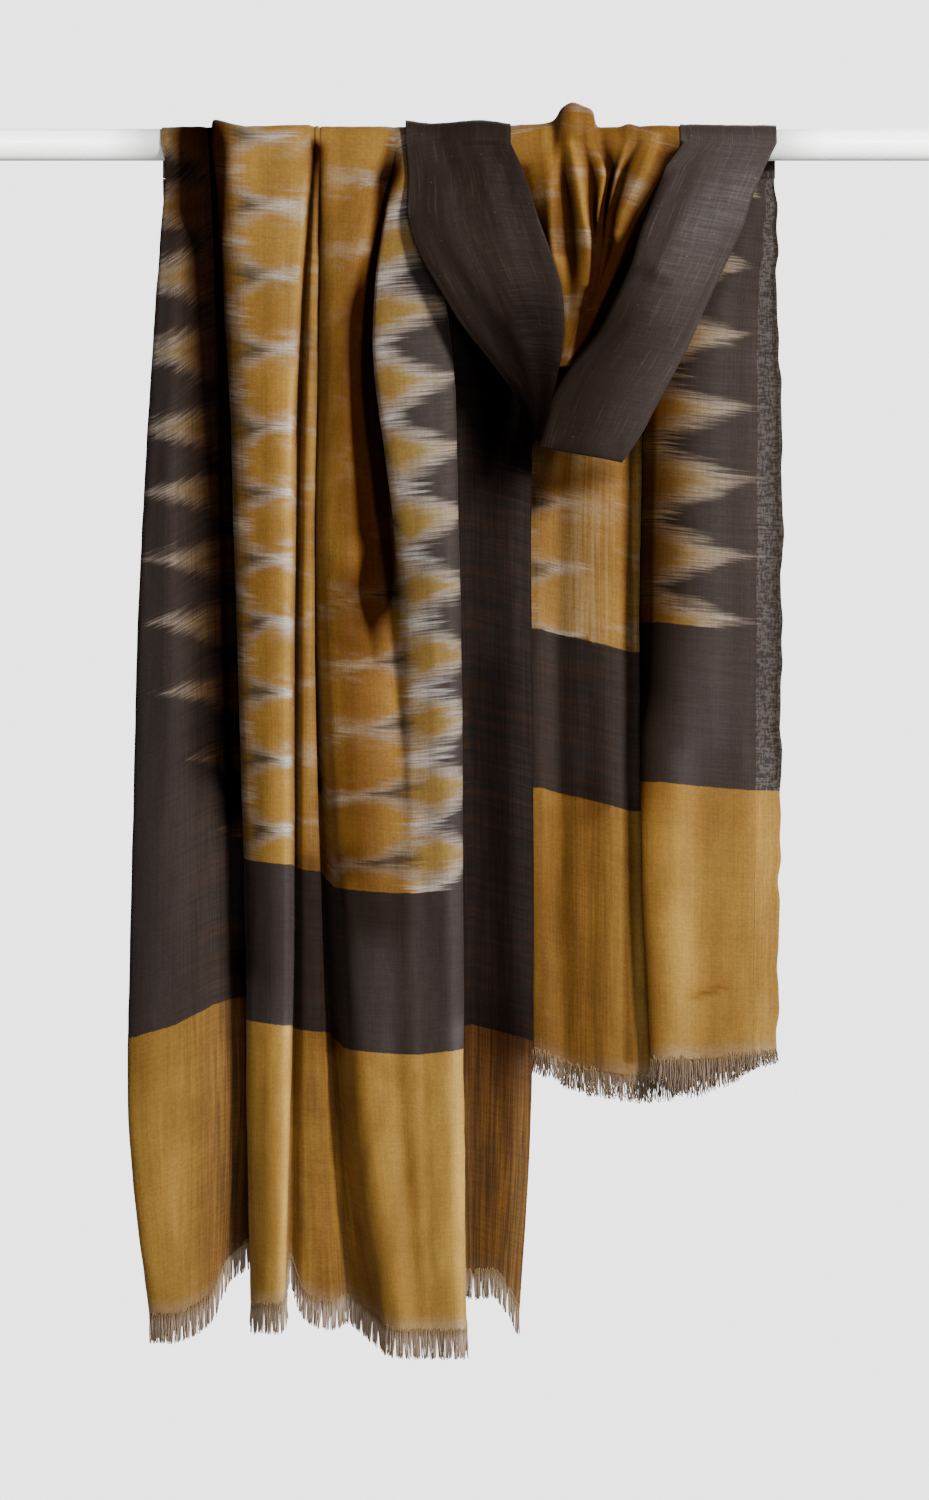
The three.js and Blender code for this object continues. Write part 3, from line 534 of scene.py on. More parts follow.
class Stretch:
    """points: rows x columns x 3. line: place of each column among the fold lines. run: height along the
    cloth, which is z where it hangs. above: height above the line where the gold end begins. sheer: how
    much painted shade of the dark behind shows through, or, below 0, painted light of the bright wall.
    dark: painted shade where it lies deep or in a fold's shadow, or, below 0, a painted highlight. warp,
    weft: what the threads of each kind follow. ikat: place across the teeth, as add_ikat sets it. phase:
    place along them."""

    def __init__(self, points, line, run, above=None, sheer=0.0):
        self.points = points
        self.line = line
        self.run = run
        self.above = run + FAR_ABOVE if above is None else above
        self.sheer = sheer + np.zeros(run.shape)
        self.dark = np.zeros(run.shape)
        self.across = arc_lengths(points, 1)
        self.length = arc_lengths(points, 0)
        self.warp = np.repeat(self.across.mean(axis=0)[None], len(points), axis=0)
        self.weft = self.length if above is None else above
        self.ikat = np.full(run.shape, PLAIN_BORDER)
        self.phase = self.run / PERIOD

    def across_at(self, lines):
        """How far across each row lies its place among the fold lines."""
        return np.array([np.interp(a, self.line, row) for a, row in zip(lines, self.across)])

    def beside(self, start, end):
        """Each point's share of the way along a line on the cloth, and its distance from that line. A steep
        line keeps to its fold lines, whatever the width of the folds beside it."""
        (line0, run0), (line1, run1) = start, end
        if abs(run1 - run0) > STEEP_RUN:
            share = np.clip((self.run - run0) / (run1 - run0), 0, 1)
            centre = self.across_at(mix(line0, line1, share[:, 0]))
            past = np.maximum(0, np.maximum(self.run - max(run0, run1), min(run0, run1) - self.run))
            return share, np.hypot(self.across - centre[:, None], past)
        row = int(np.argmin(np.abs(self.run[:, 0] - run0)))
        a0, a1 = np.interp([line0, line1], self.line, self.across[row])
        step = np.array([a1 - a0, run1 - run0])
        reach = (self.across - a0) * step[0] + (self.run - run0) * step[1]
        share = np.clip(reach / float(step @ step), 0, 1)
        return share, np.hypot(self.across - a0 - share * step[0], self.run - run0 - share * step[1])

    def crease(self, start, end, width, depth):
        """A soft trough (depth above 0) or ridge between two places, each given as (fold line, run)."""
        share, away = self.beside(start, end)
        taper = np.sin(np.pi * (0.08 + 0.84 * share))
        self.push(-depth * np.exp(-(away / width) ** 2) * taper)

    def darken(self, start, end, width, amount, edge=2, point=0):
        """Painted shade between two places, where the cloth lies deep or in a fold's shadow, or a painted
        highlight, where amount is below 0. Its sides are crisper with a higher edge, and point is the share
        of its length over which each end narrows and fades."""
        share, away = self.beside(start, end)
        if point:
            whole = ease(np.minimum(share, 1 - share) / point)
            width = width * mix(POINT_WIDTH, 1, whole)
            amount = amount * whole
        self.dark = self.dark + amount * np.exp(-(away / width) ** edge)

    def work(self, creases, shadows):
        """Makes the creases, and the painted shade and painted highlights, of two tables."""
        for crease in creases:
            self.crease(*crease)
        for shadow in shadows:
            self.darken(*shadow)
        return self

    def wave_edge(self, size, depth, seed):
        """Lets the first edge wave in its own plane."""
        wave = depth * ripple(self.length, self.length * 0, size, 1, seed)
        self.points[..., 0] += wave * np.exp(-(self.across / SELVEDGE) ** 2)

    def push(self, height):
        """Moves the points along their normals, towards the side that faces out."""
        self.points = self.points + normals(self.points) * height[..., None]


def between(count, pieces):
    """Evenly spaced places among so many fold lines."""
    return np.linspace(0, count - 1, (count - 1) * pieces + 1)


def upwards(levels, rows):
    """Places among the levels for each row from the hem up to the rod, which is left out."""
    return np.linspace(len(levels) - 1, 0, rows + 1)[:-1]


def over_rod(front, places, bulges, radius, line):
    """The rows in front, then those over the rod and down behind it, and the run of each point."""
    x = along(places, line)
    bulge = np.maximum(0, along(bulges, line))
    rows, runs = [], []
    for f in np.linspace(0, 1, ARC_ROWS + 1):
        angle = f * math.pi
        share = mix(FRONT_BULGE, 1, math.sin(angle)) if f < 0.5 else math.sin(angle)
        reach = radius + bulge * share
        rows.append(np.stack([x, -reach * math.cos(angle), reach * math.sin(angle)], axis=1))
        runs.append(radius * angle)
    for f in np.linspace(0, 1, DROP_ROWS + 1)[1:]:
        rows.append(np.stack([x, np.full_like(x, radius), np.full_like(x, -BACK_DROP * f)], axis=1))
        runs.append(radius * math.pi + BACK_DROP * f)
    run = np.repeat(np.array(runs)[:, None], len(line), axis=1)
    return np.concatenate([front, np.array(rows)]), np.concatenate([front[..., 2], run])


def hanging(lines, levels, rod_depth, t, line):
    """Rows of a stretch given by fold lines, at each t, made smooth across."""
    last = len(levels) - 1
    x = along(np.array([l["x"] for l in lines]).T, t)
    y = along(np.array([[rod_depth(l), *l["y"]] for l in lines]).T, t)
    z = along(levels, t)[:, None] + np.zeros_like(x)
    hems = np.array([l.get("hem", levels[-1]) for l in lines])
    z = z + (hems - levels[-1]) * ease(np.maximum(0, t - last + 2) / 2)[:, None]
    coarse = np.stack([x, y, z], axis=2)
    return along(coarse.transpose(1, 0, 2), line).transpose(1, 0, 2)


def column(lines, name, line):
    return np.interp(line, range(len(lines)), [l[name] for l in lines])


def front_of_rod(line):
    return -(ON_ROD + FRONT_BULGE * line["bulge"])


def lines_over_rod(lines, levels, rows):
    """A stretch that hangs in front of the rod by its fold lines and then goes over it."""
    line = between(len(lines), FINE)
    front = hanging(lines, levels, front_of_rod, upwards(levels, rows), line)
    points, run = over_rod(front, [l["x"][0] for l in lines], [l["bulge"] for l in lines], ON_ROD, line)
    return points, line, run


# ---- where the ikat teeth lie ----

def phase_at(run, tips):
    """Counts the teeth: whole numbers at the tips, whose heights are given from the top down."""
    tips = np.array(tips, float)
    ahead = tips[0] + PERIOD * np.arange(TEETH_BEYOND, 0, -1)
    below = tips[-1] - PERIOD * np.arange(1, TEETH_BEYOND + 1)
    heights = np.concatenate([ahead, tips, below])
    return np.interp(run, heights[::-1], np.arange(len(heights), dtype=float)[::-1])


def add_ikat(stretch, borders):
    """Sets how far each point lies from the nearest ikat line: -1 at the tips on the border's side, 1 at
    those on the field's side."""
    nearest = np.full(stretch.run.shape, np.inf)
    for border in borders:
        start = stretch.across_at(read(border["line"], stretch.run[:, 0]))
        away = stretch.across - start[:, None]
        inwards = away * border["side"]
        depth = np.where(inwards > 0, read(border["into"], stretch.run), read(border["out"], stretch.run))
        phase = phase_at(stretch.run - border["slope"] * away, border["tips"])
        closer = inwards < nearest
        stretch.ikat = np.where(closer, inwards / depth, stretch.ikat)
        stretch.phase = np.where(closer, phase, stretch.phase)
        nearest = np.where(closer, inwards, nearest)


# ---- the stretches ----

def left_end():
    points, line, run = lines_over_rod(LEFT_LINES, LEFT_LEVELS, LEFT_ROWS)
    above = run - column(LEFT_LINES, "gold", line)
    stretch = Stretch(points, line, run, above, column(LEFT_LINES, "sheer", line))
    add_ikat(stretch, LEFT_BORDERS)
    return stretch.work(LEFT_CREASES, LEFT_SHADOWS)


def flap():
    t = upwards(FLAP_SECTIONS, FLAP_ROWS)
    share = np.linspace(0, 1, FLAP_COLUMNS + 1)
    left, right, z = (along([s[name] for s in FLAP_SECTIONS], t) for name in ("left", "right", "z"))
    depth = along(np.array([s["y"] for s in FLAP_SECTIONS]), t)
    x = mix(left[:, None], right[:, None], share[None])
    y = along(depth.T, 2 * share).T
    front = np.stack([x, y, np.repeat(z[:, None], len(share), axis=1)], axis=2)
    last = len(FLAP_BULGES) - 1
    top = FLAP_SECTIONS[0]
    places = [mix(top["left"], top["right"], i / last) for i in range(last + 1)]
    points, run = over_rod(front, places, FLAP_BULGES, OVER_LAYER, share * last)
    return Stretch(points, share * last, run).work(FLAP_CREASES, FLAP_SHADOWS)


def gathers():
    points, line, run = lines_over_rod(GATHER_LINES, GATHER_LEVELS, GATHER_ROWS)
    stretch = Stretch(points, line, run)
    stretch.ikat = np.full(run.shape, GATHER_IKAT)
    from_middle = np.abs(stretch.across - 0.5 * stretch.across[:, -1:])
    stretch.phase = (stretch.length + WEFT_TILT * from_middle) / PERIOD
    return stretch.work(GATHER_CREASES, GATHER_SHADOWS)


def band():
    left, right, y = (np.array([s[name] for s in BAND_SECTIONS], float) for name in ("left", "right", "y"))

    def across(share, depth):
        at = mix(left, right, share)
        return np.stack([at[:, 0], depth, at[:, 1]], axis=1)

    under = np.stack([left[:, 0] + BAND_ROLL, y[:, 0], left[:, 1]], axis=1)
    edge = across(0, mix(y[:, 0], y[:, 1], BAND_SHARES["under_depth"]))
    shoulder = across(BAND_SHARES["shoulder"], y[:, 1])
    middle = across(BAND_SHARES["middle"], y[:, 2])
    coarse = np.array([under, edge, shoulder, middle, across(1, y[:, 3])])
    line = between(len(coarse), BAND_FINE)
    t = np.linspace(0, len(BAND_SECTIONS) - 1, BAND_ROWS + 1)
    front = along(along(coarse, line).transpose(1, 0, 2), t)
    points, run = over_rod(front, BAND_TOP["x"], BAND_TOP["bulge"], ON_ROD + BAND_LIFT, line)
    return Stretch(points, line, run).work(BAND_CREASES, BAND_SHADOWS)


def right_end():
    strip_edge = (STRIP_LINE - STRIP_EDGE, STRIP_LINE + STRIP_EDGE)
    line = np.sort(np.append(between(len(RIGHT_LINES), FINE), strip_edge))
    t = np.linspace(len(RIGHT_LEVELS) - 1, 0, RIGHT_ROWS + 1)
    points = hanging(RIGHT_LINES, RIGHT_LEVELS, lambda _: ON_ROD + BEHIND, t, line)
    run = points[..., 2]
    above = run - column(RIGHT_LINES, "gold", line)
    sheer = column(RIGHT_LINES, "sheer", line)
    # in the band and gold end, painted shade of the dark behind, weaker in the gold end; above them,
    # painted shade where sheer is above 0 and painted light of the wall, at a share, where it is below 0
    over_dark = np.where(above < 0, END_SHARE, 1) * np.abs(sheer)
    over_wall = np.where(sheer < 0, WALL_SHARE, 1) * sheer
    sheer = np.where(above < BAND_HEIGHT, over_dark, over_wall)
    sheer = np.where(line < STRIP_LINE, OPEN_WEAVE, sheer)
    stretch = Stretch(points, line, run, above, sheer)
    stretch.wave_edge(**SELVEDGE_WAVE)
    add_ikat(stretch, RIGHT_BORDERS)
    return stretch.work(RIGHT_CREASES, RIGHT_SHADOWS)


def back_loop(start_row, end_row):
    """The loop behind the rod, from the left end's last row to that of the flap and the gathers."""
    s = np.linspace(0, 1, LOOP_ROWS + 1)[:, None]
    u = np.linspace(0, 1, LOOP_COLUMNS + 1)
    a, b = place_on(start_row, u), place_on(end_row, u)
    fall = np.sin(np.pi * s)
    depth = mix(*LOOP_DEPTH, u) * np.sin(np.pi * s ** LOOP_DEEPEST)
    wave = LOOP_WAVES["depth"] * np.sin(2 * np.pi * LOOP_WAVES["count"] * u) * fall
    x = mix(a[:, 0], b[:, 0], ease(s))
    y = mix(a[:, 1], b[:, 1], s) + depth + wave
    z = -BACK_DROP - SEAM - mix(*LOOP_DROP, u) * fall
    points = np.stack([x, y, z], axis=2)
    stretch = Stretch(points, u, arc_lengths(points, 0))
    width = stretch.across[:, -1:]
    edge = np.minimum(stretch.across, width - stretch.across) - LOOP_BORDER
    stretch.ikat = edge / np.where(edge > 0, LOOP_TEETH["into"], LOOP_TEETH["out"])
    return stretch


# ---- meshes ----

def make_mesh(name, points, faces, maps):
    """A piece in metres from points in millimetres, with one UV map for each pair of numbers in maps."""
    mesh = bpy.data.meshes.new(name)
    mesh.from_pydata((points / 1000).tolist(), [], faces)
    mesh.polygons.foreach_set("use_smooth", [True] * len(mesh.polygons))
    corners = np.empty(len(mesh.loops), dtype=np.int32)
    mesh.loops.foreach_get("vertex_index", corners)
    for map_name, values in maps.items():
        layer = mesh.uv_layers.new(name=map_name)
        layer.data.foreach_set("uv", values[corners].ravel())
    piece = bpy.data.objects.new(name, mesh)
    bpy.context.collection.objects.link(piece)
    return piece


def shell(name, stretch):
    """The stretch as a closed thin shell."""
    rows, columns = stretch.run.shape
    offset = normals(stretch.points) * SHELL / 2
    points = np.concatenate([stretch.points + offset, stretch.points - offset]).reshape(-1, 3)
    index = np.arange(rows * columns).reshape(rows, columns)
    a, b, c, d = index[:-1, :-1], index[1:, :-1], index[1:, 1:], index[:-1, 1:]
    front = np.stack([a, b, c, d], axis=-1).reshape(-1, 4)
    back = np.stack([a, d, c, b], axis=-1).reshape(-1, 4) + rows * columns
    rim = np.concatenate([index[0, ::-1], index[1:-1, 0], index[-1, :], index[-2:0:-1, -1]])
    after = np.roll(rim, -1)
    sides = np.stack([rim, after, after + rows * columns, rim + rows * columns], axis=1)[:, ::-1]
    pairs = {
        # bands: height above the gold end, and sheer, the painted see-through shade or wall light. depth:
        # length along the cloth, and dark, the painted shade and painted highlights.
        "cloth": (stretch.warp, stretch.weft),
        "ikat": (stretch.ikat, stretch.phase),
        "bands": (stretch.above, stretch.sheer),
        "depth": (stretch.length, stretch.dark),
    }
    maps = {key: np.tile(np.stack(pair, axis=2).reshape(-1, 2), (2, 1)) for key, pair in pairs.items()}
    return make_mesh(name, points, np.concatenate([front, back, sides]).tolist(), maps)


def add_ripples(stretch, seed):
    """Long soft ripples along the cloth and finer ones on them, fading out near the rod."""
    hang = ease((-stretch.points[..., 2] - 5) / 60)
    big = ripple(stretch.across, stretch.length, 16, 170, seed)
    middle = ripple(stretch.across, stretch.length, 7, 60, seed + 1)
    small = ripple(stretch.across, stretch.length, 4, 14, seed + 2)
    stretch.push(SOFT_RIPPLE * (0.7 * big + 0.3 * middle) * hang + FINE_RIPPLE * small)


# ---- fringe ----

def thread(points, radius):
    """One three-sided thread along its points: its own points, faces and end caps."""
    taper = radius * np.linspace(1, THREAD_TIP, len(points))[:, None]
    angles = [2 * math.pi * i / 3 for i in range(3)]
    sides = [np.array([math.cos(angle), math.sin(angle), 0]) for angle in angles]
    places = np.stack([points + taper * side for side in sides], axis=1).reshape(-1, 3)
    last = len(places) - 1
    faces = []
    for r in range(0, last - 3, 3):
        faces += [[r + i, r + 3 + i, r + 3 + (i + 1) % 3, r + (i + 1) % 3] for i in range(3)]
    return places, faces, [[0, 1, 2], [last, last - 1, last - 2]]


def fringe(name, hem, look, seed):
    """Loose warp ends along a hem: many fine threads that lean together in small tufts."""
    draw = np.random.default_rng(seed)
    width = arc_lengths(hem[None], 1)[0, -1]
    count = int(width / look["spacing"])
    steps = np.linspace(0, 1, look["steps"] + 1)
    points, quads, caps, maps = [], [], [], []
    for i in range(count):
        share = np.clip((i + draw.uniform(-0.4, 0.4)) / count, 0.002, 0.998)
        root = place_on(hem, np.array([share]))[0]
        tuft = math.floor(share * width / look["tuft"])
        tuft_draw = np.random.default_rng(seed * 1000 + tuft)
        lean = tuft_draw.uniform(-1, 1) * look["lean"] + draw.uniform(-1, 1) * look["spread"]
        pull = ((tuft + 0.5) * look["tuft"] / width - share) * width * look["gather"]
        length = look["length"] * np.interp(share, *look["lengths"])
        length = length * draw.uniform(1 - look["uneven"], 1.04)
        curl = look["curl"] * draw.uniform(-1, 1)
        rise = draw.uniform(0.5, look["rise"])
        side = ON_CLOTH if draw.uniform() < 0.5 else -ON_CLOTH
        twist = draw.uniform(0, 2 * math.pi)
        away = draw.uniform(-1, 1) * look["depth"] * steps ** 1.3
        x = root[0] + (lean + pull) * steps ** 1.5 + curl * np.sin(steps * 5 + twist) * steps
        y = root[1] + side * (1 - steps) ** 2 + away + 0.5 * curl * np.cos(steps * 4 + twist) * steps
        z = root[2] + rise - (length + rise) * steps
        places, faces, ends = thread(np.stack([x, y, z], axis=1), draw.uniform(*look["radius"]))
        start = i * len(places)
        points.append(places)
        quads += [[v + start for v in face] for face in faces]
        caps += [[v + start for v in cap] for cap in ends]
        tone = np.full(len(places), draw.uniform(*look["tones"]))
        maps.append(np.stack([tone, np.repeat(steps, 3)], axis=1))
    return make_mesh(name, np.concatenate(points), quads + caps, {"thread": np.concatenate(maps)})


# ---- materials ----

def linear(colour):
    """Linear red, green, blue and alpha from an sRGB hex colour."""
    channels = [int(colour[i:i + 2], 16) / 255 for i in (1, 3, 5)]
    return tuple(c / 12.92 if c <= 0.04045 else ((c + 0.055) / 1.055) ** 2.4 for c in channels) + (1.0,)


class Value:
    """A number that a material's nodes work out at each point, with Python's own arithmetic."""

    def __init__(self, look, socket):
        self.look = look
        self.socket = socket

    def __add__(self, other):
        return self.look.math("ADD", self, other)

    def __sub__(self, other):
        return self.look.math("SUBTRACT", self, other)

    def __rsub__(self, other):
        return self.look.math("SUBTRACT", other, self)

    def __mul__(self, other):
        return self.look.math("MULTIPLY", self, other)

    def __pow__(self, other):
        return self.look.math("POWER", self, other)

    def __abs__(self):
        return self.look.math("ABSOLUTE", self)

    def at_least(self, other):
        return self.look.math("MAXIMUM", self, other)

    def at_most(self, other):
        return self.look.math("MINIMUM", self, other)

    def ramp(self, low, high, out_low=0.0, out_high=1.0):
        """Goes smoothly from out_low to out_high as the number goes from low to high."""
        node = self.look.node("MapRange")
        node.interpolation_type = "SMOOTHSTEP"
        for socket, number in zip(node.inputs, (self, low, high, out_low, out_high)):
            self.look.feed(socket, number)
        return Value(self.look, node.outputs[0])


class Look:
    """A material with short calls for its nodes."""

    def __init__(self, name, **sockets):
        self.material = bpy.data.materials.new(name)
        self.material.use_nodes = True
        self.tree = self.material.node_tree
        self.shader = self.tree.nodes["Principled BSDF"]
        for socket, value in sockets.items():
            self.set(socket.replace("_", " "), value)

    def feed(self, socket, value):
        if isinstance(value, Value):
            value = value.socket
        if isinstance(value, bpy.types.NodeSocket):
            self.tree.links.new(value, socket)
        else:
            socket.default_value = value

    def node(self, kind, **inputs):
        node = self.tree.nodes.new("ShaderNode" + kind)
        for name, value in inputs.items():
            self.feed(node.inputs[name], value)
        return node

    def set(self, name, value):
        self.feed(self.shader.inputs[name], value)

    def math(self, operation, *values):
        node = self.node("Math")
        node.operation = operation
        for socket, value in zip(node.inputs, values):
            self.feed(socket, value)
        return Value(self, node.outputs[0])

    def mix(self, factor, a, b, blend="MIX"):
        node = self.node("Mix")
        node.data_type = "RGBA"
        node.blend_type = blend
        for i, value in ((0, factor), (6, a), (7, b)):
            self.feed(node.inputs[i], value)
        return node.outputs[2]

    def uv(self, name):
        source = self.node("UVMap")
        source.uv_map = name
        split = self.node("SeparateXYZ", Vector=source.outputs[0])
        return Value(self, split.outputs[0]), Value(self, split.outputs[1])

    def grain(self, place, scale, detail):
        return Value(self, self.node("TexNoise", Vector=place, Scale=scale, Detail=detail).outputs[0])

    def noise(self, place, size_x, size_y, layer, detail=2.0):
        """Noise from 0 to 1 with features of these sizes; layer tells one noise from another."""
        x, y = place
        vector = self.node("CombineXYZ", X=x * (1 / size_x), Y=y * (1 / size_y), Z=layer * 7.3)
        return self.grain(vector.outputs[0], 1.0, detail)

    def bump(self, height, strength, distance):
        node = self.node("Bump", Height=height, Strength=strength, Distance=distance)
        self.set("Normal", node.outputs[0])


def woven(look, base):
    """Puts the weave on a cloth's colour: uneven slubbed threads both ways, the painted shade of what is
    behind a single layer seen between its threads, or the painted light of the wall, and the painted shade
    and painted highlights of the folds."""
    cloth = look.uv("cloth")
    above, sheer = look.uv("bands")
    _, dark = look.uv("depth")
    warp = look.noise(cloth, 1.3, 60, 1)
    weft = look.noise(cloth, 34, 1.3, 2)
    cloud = look.noise(cloth, 26, 110, 4)
    fuzz = look.noise(cloth, 1.5, 1.5, 5)
    tone = warp.ramp(0.32, 0.68, 0.94, 1.05) * weft.ramp(0.32, 0.68, 0.97, 1.03)
    tone = tone * cloud.ramp(0.3, 0.7, 0.9, 1.08) * fuzz.ramp(0.3, 0.7, 0.89, 1.11)

    # a single layer is streaked both ways, mostly upright in the gold end and mostly level above it
    gold_end = above.ramp(2.0, -2.0)
    open_weave = sheer.ramp(1.1, 1.5)
    single = abs(sheer).at_most(1.0) * (1.0 - open_weave * 0.7)
    upright = look.noise(cloth, 2.0, 90, 41).ramp(0.34, 0.66, -0.3, 0.34)
    level = look.noise(cloth, 60, 2.4, 42).ramp(0.34, 0.66, -0.12, 0.14)
    upright = upright * gold_end.ramp(0.0, 1.0, 0.35, 1.0)
    level = level * gold_end.ramp(0.0, 1.0, 1.0, 0.25)
    tone = tone * (single * (upright + level) + 1.0)

    # painted shade: the dark behind a single layer shows between its threads and through it; painted light:
    # the bright wall shows through where sheer is below 0, and a warm glow through single layers
    threads = warp * 0.86 + weft * 0.14
    loose = look.noise(cloth, 7, 70, 6).ramp(0.35, 0.65, -0.03, 0.03)
    gap = (threads + loose).ramp(0.55, 0.42) * gold_end.ramp(0.0, 1.0, 0.4, 0.26)
    layer = sheer.at_least(0.0).at_most(1.0) * (1.0 - open_weave)
    gap_shade = 1.0 - gap * layer
    behind = 1.0 - layer * SEEN_THROUGH
    streak = look.noise(cloth, 2.2, 120, 9).ramp(0.36, 0.62, 0.15, 1.0)
    base = look.mix((sheer * -1.0).at_least(0.0) * streak, base, linear(WALL_LIGHT))
    glow = look.noise(cloth, 70, 6, 43, detail=3.0).ramp(0.36, 0.7, 0.05, 0.6)
    base = look.mix(layer * (glow * (1.0 - gold_end * 0.85)), base, linear(WARM_DARK))

    # the selvedge strip of the short end is woven more openly: paler threads, and painted shade of the dark
    # behind in its gaps
    selvedge = open_weave * above.ramp(-1.0, 1.0)
    coarse = look.noise(cloth, 1.4, 5, 7) + look.noise(cloth, 5, 1.4, 8)
    base = look.mix(selvedge * coarse.ramp(0.94, 1.12, 0.02, 0.09), base, linear(OFF_WHITE))
    tone = tone * (1.0 - coarse.ramp(1.04, 0.86, 0.0, 0.45) * selvedge)

    # painted shade where dark is above 0 and painted highlights where it is below 0, tinted by
    # SHADE_POWERS; the specular and sheen fade with the painted shade
    deep = (1.0 - dark * SHADOW_DEPTH).at_least(DARKEST)
    light = gap_shade * behind * deep
    shade = look.node("CombineColor")
    for socket, power in zip(shade.inputs, SHADE_POWERS):
        look.feed(socket, tone * light ** power)
    look.set("Base Color", look.mix(1.0, base, shade.outputs[0], blend="MULTIPLY"))
    look.set("Roughness", weft.ramp(0.3, 0.7, 0.76, 0.6))
    look.set("Specular IOR Level", deep * 0.2)
    look.set("Sheen Weight", deep * 0.05)
    slub = look.noise(cloth, 12, 1.1, 3)
    look.bump(threads + slub * 0.5, 0.35, 0.0005)


def patterned_cloth():
    """Gold field, charcoal borders, serrated ikat edges between them, and the plain bands at an end."""
    look = Look("patterned_cloth", **CLOTH_SHADER)
    cloth = look.uv("cloth")
    place, phase = look.uv("ikat")
    above, _ = look.uv("bands")

    # the weft threads slip past each other, so every edge across them is feathered
    yarn = look.noise(cloth, 30, 1.2, 11, detail=1.0) - 0.5
    strand = look.noise(cloth, 40, 3.0, 12, detail=1.0) - 0.5
    drift = look.noise(cloth, 55, 16, 13) - 0.5
    u = place + (yarn * 0.5 + strand * 0.42 + drift * 0.3)
    wobble = (look.noise(cloth, 24, 30, 14) - 0.5) * 0.18
    step = look.math("FRACT", phase + wobble + 0.5)
    from_tip = abs(step - 0.5) * 2.0
    to_tip = 1.0 - from_tip
    inside = (u + to_tip ** 1.1).at_most(to_tip ** 2.0 - u)

    gold_tone = look.noise(cloth, 40, 70, 15).ramp(0.35, 0.65)
    gold = look.mix(gold_tone, linear(GOLD_DEEP), linear(GOLD))
    gold = look.mix(0.55, gold, linear(GOLD))
    charcoal = look.mix(look.noise(cloth, 8, 40, 16), linear(CHARCOAL_DEEP), linear(CHARCOAL))
    charcoal = look.mix(0.5, charcoal, linear(CHARCOAL))
    ground = look.mix(u.ramp(-0.1, 0.14), charcoal, gold)
    diamond = look.mix(u.ramp(-0.1, -0.8), look.mix(0.35, gold, linear(OLIVE)), linear(OLIVE))
    tooth = look.mix(u.ramp(0.0, 0.4), diamond, linear(BROWN))
    colour = look.mix(inside.ramp(0.02, 0.3), ground, tooth)

    # undyed threads outline the teeth, and are brightest where two outlines meet
    white_yarn = look.noise(cloth, 26, 1.3, 17).ramp(0.34, 0.62, 0.3, 1.0)
    outline = abs(inside - 0.13).ramp(0.44, 0.04) * white_yarn * 0.85
    colour = look.mix(outline, colour, linear(TAUPE_WHITE))
    crossing = from_tip.ramp(0.62, 0.95) * abs(u).ramp(0.42, 0.05)
    apex = from_tip.ramp(0.3, 0.0) * u.ramp(0.55, 0.95) * u.ramp(1.35, 1.05)
    bright = crossing.at_least(apex) * (white_yarn * 0.9)
    colour = look.mix(bright, colour, linear(OFF_WHITE))

    # pale blotches in rows across the field, level with the teeth
    blotch = look.noise(cloth, 30, 11, 18, detail=3.0).ramp(0.46, 0.68)
    stain = from_tip.ramp(0.75, 0.2) * blotch * place.ramp(3.4, 0.9)
    in_field = u.ramp(0.6, 1.0) * (stain * (white_yarn * 0.4 + 0.45))
    colour = look.mix(in_field * 0.6, colour, linear(OFF_WHITE))

    height = above + (look.noise(cloth, 5, 300, 19) - 0.5) * 1.2
    colour = look.mix(height.ramp(BAND_HEIGHT + 0.5, BAND_HEIGHT - 0.5), colour, charcoal)
    colour = look.mix(height.ramp(0.4, -0.4), colour, gold)

    # the last threads before the fringe lose their dye
    from_hem, _ = look.uv("depth")
    worn = (from_hem + yarn * 6.0).ramp(WORN_HEM, 0.0, 0.0, 0.38)
    colour = look.mix(worn * height.ramp(0.0, -20.0), colour, linear(TAUPE_WHITE))
    woven(look, colour)
    return look.material


def border_cloth():
    """The same cloth where it is plain charcoal, with small pale specks where a slub breaks."""
    look = Look("border_cloth", **CLOTH_SHADER)
    cloth = look.uv("cloth")
    charcoal = look.mix(look.noise(cloth, 10, 50, 21), linear(CHARCOAL_DEEP), linear(CHARCOAL))
    charcoal = look.mix(0.45, charcoal, linear(CHARCOAL))
    streak = look.noise(cloth, 1.4, 40, 23).ramp(0.55, 0.75, 0.0, 0.05)
    speck = look.noise(cloth, 1.8, 2.4, 22, detail=1.0).ramp(0.8, 0.83)
    colour = look.mix(streak, charcoal, linear(OFF_WHITE))
    colour = look.mix(speck * 0.4, colour, linear(OFF_WHITE))
    woven(look, colour)
    return look.material


def fringe_yarn():
    look = Look("fringe_yarn", Roughness=0.85, Specular_IOR_Level=0.2, Sheen_Weight=0.2)
    tone, place = look.uv("thread")
    colour = look.mix(tone, linear(YARN_DARK), linear(YARN_PALE))
    look.set("Base Color", look.mix(place.ramp(0.35, 0.0), colour, linear(YARN_ROOT)))
    look.bump(look.noise((tone, place), 0.01, 0.05, 31), 0.3, 0.0002)
    return look.material


def white_paint():
    look = Look("white_paint", Roughness=0.42, Specular_IOR_Level=0.4, Coat_Weight=0.15, Coat_Roughness=0.3)
    place = look.node("TexCoord").outputs["Object"]
    stretched = look.node("Mapping", Vector=place, Scale=(6.0, 60.0, 60.0))
    grain = look.grain(stretched.outputs[0], 4.0, 4.0)
    look.set("Base Color", look.mix(grain.ramp(0.3, 0.7), linear(ROD_SHADE), linear(ROD_WHITE)))
    look.set("Roughness", grain.ramp(0.3, 0.7, 0.5, 0.36))
    look.bump(grain, 0.12, 0.0004)
    return look.material


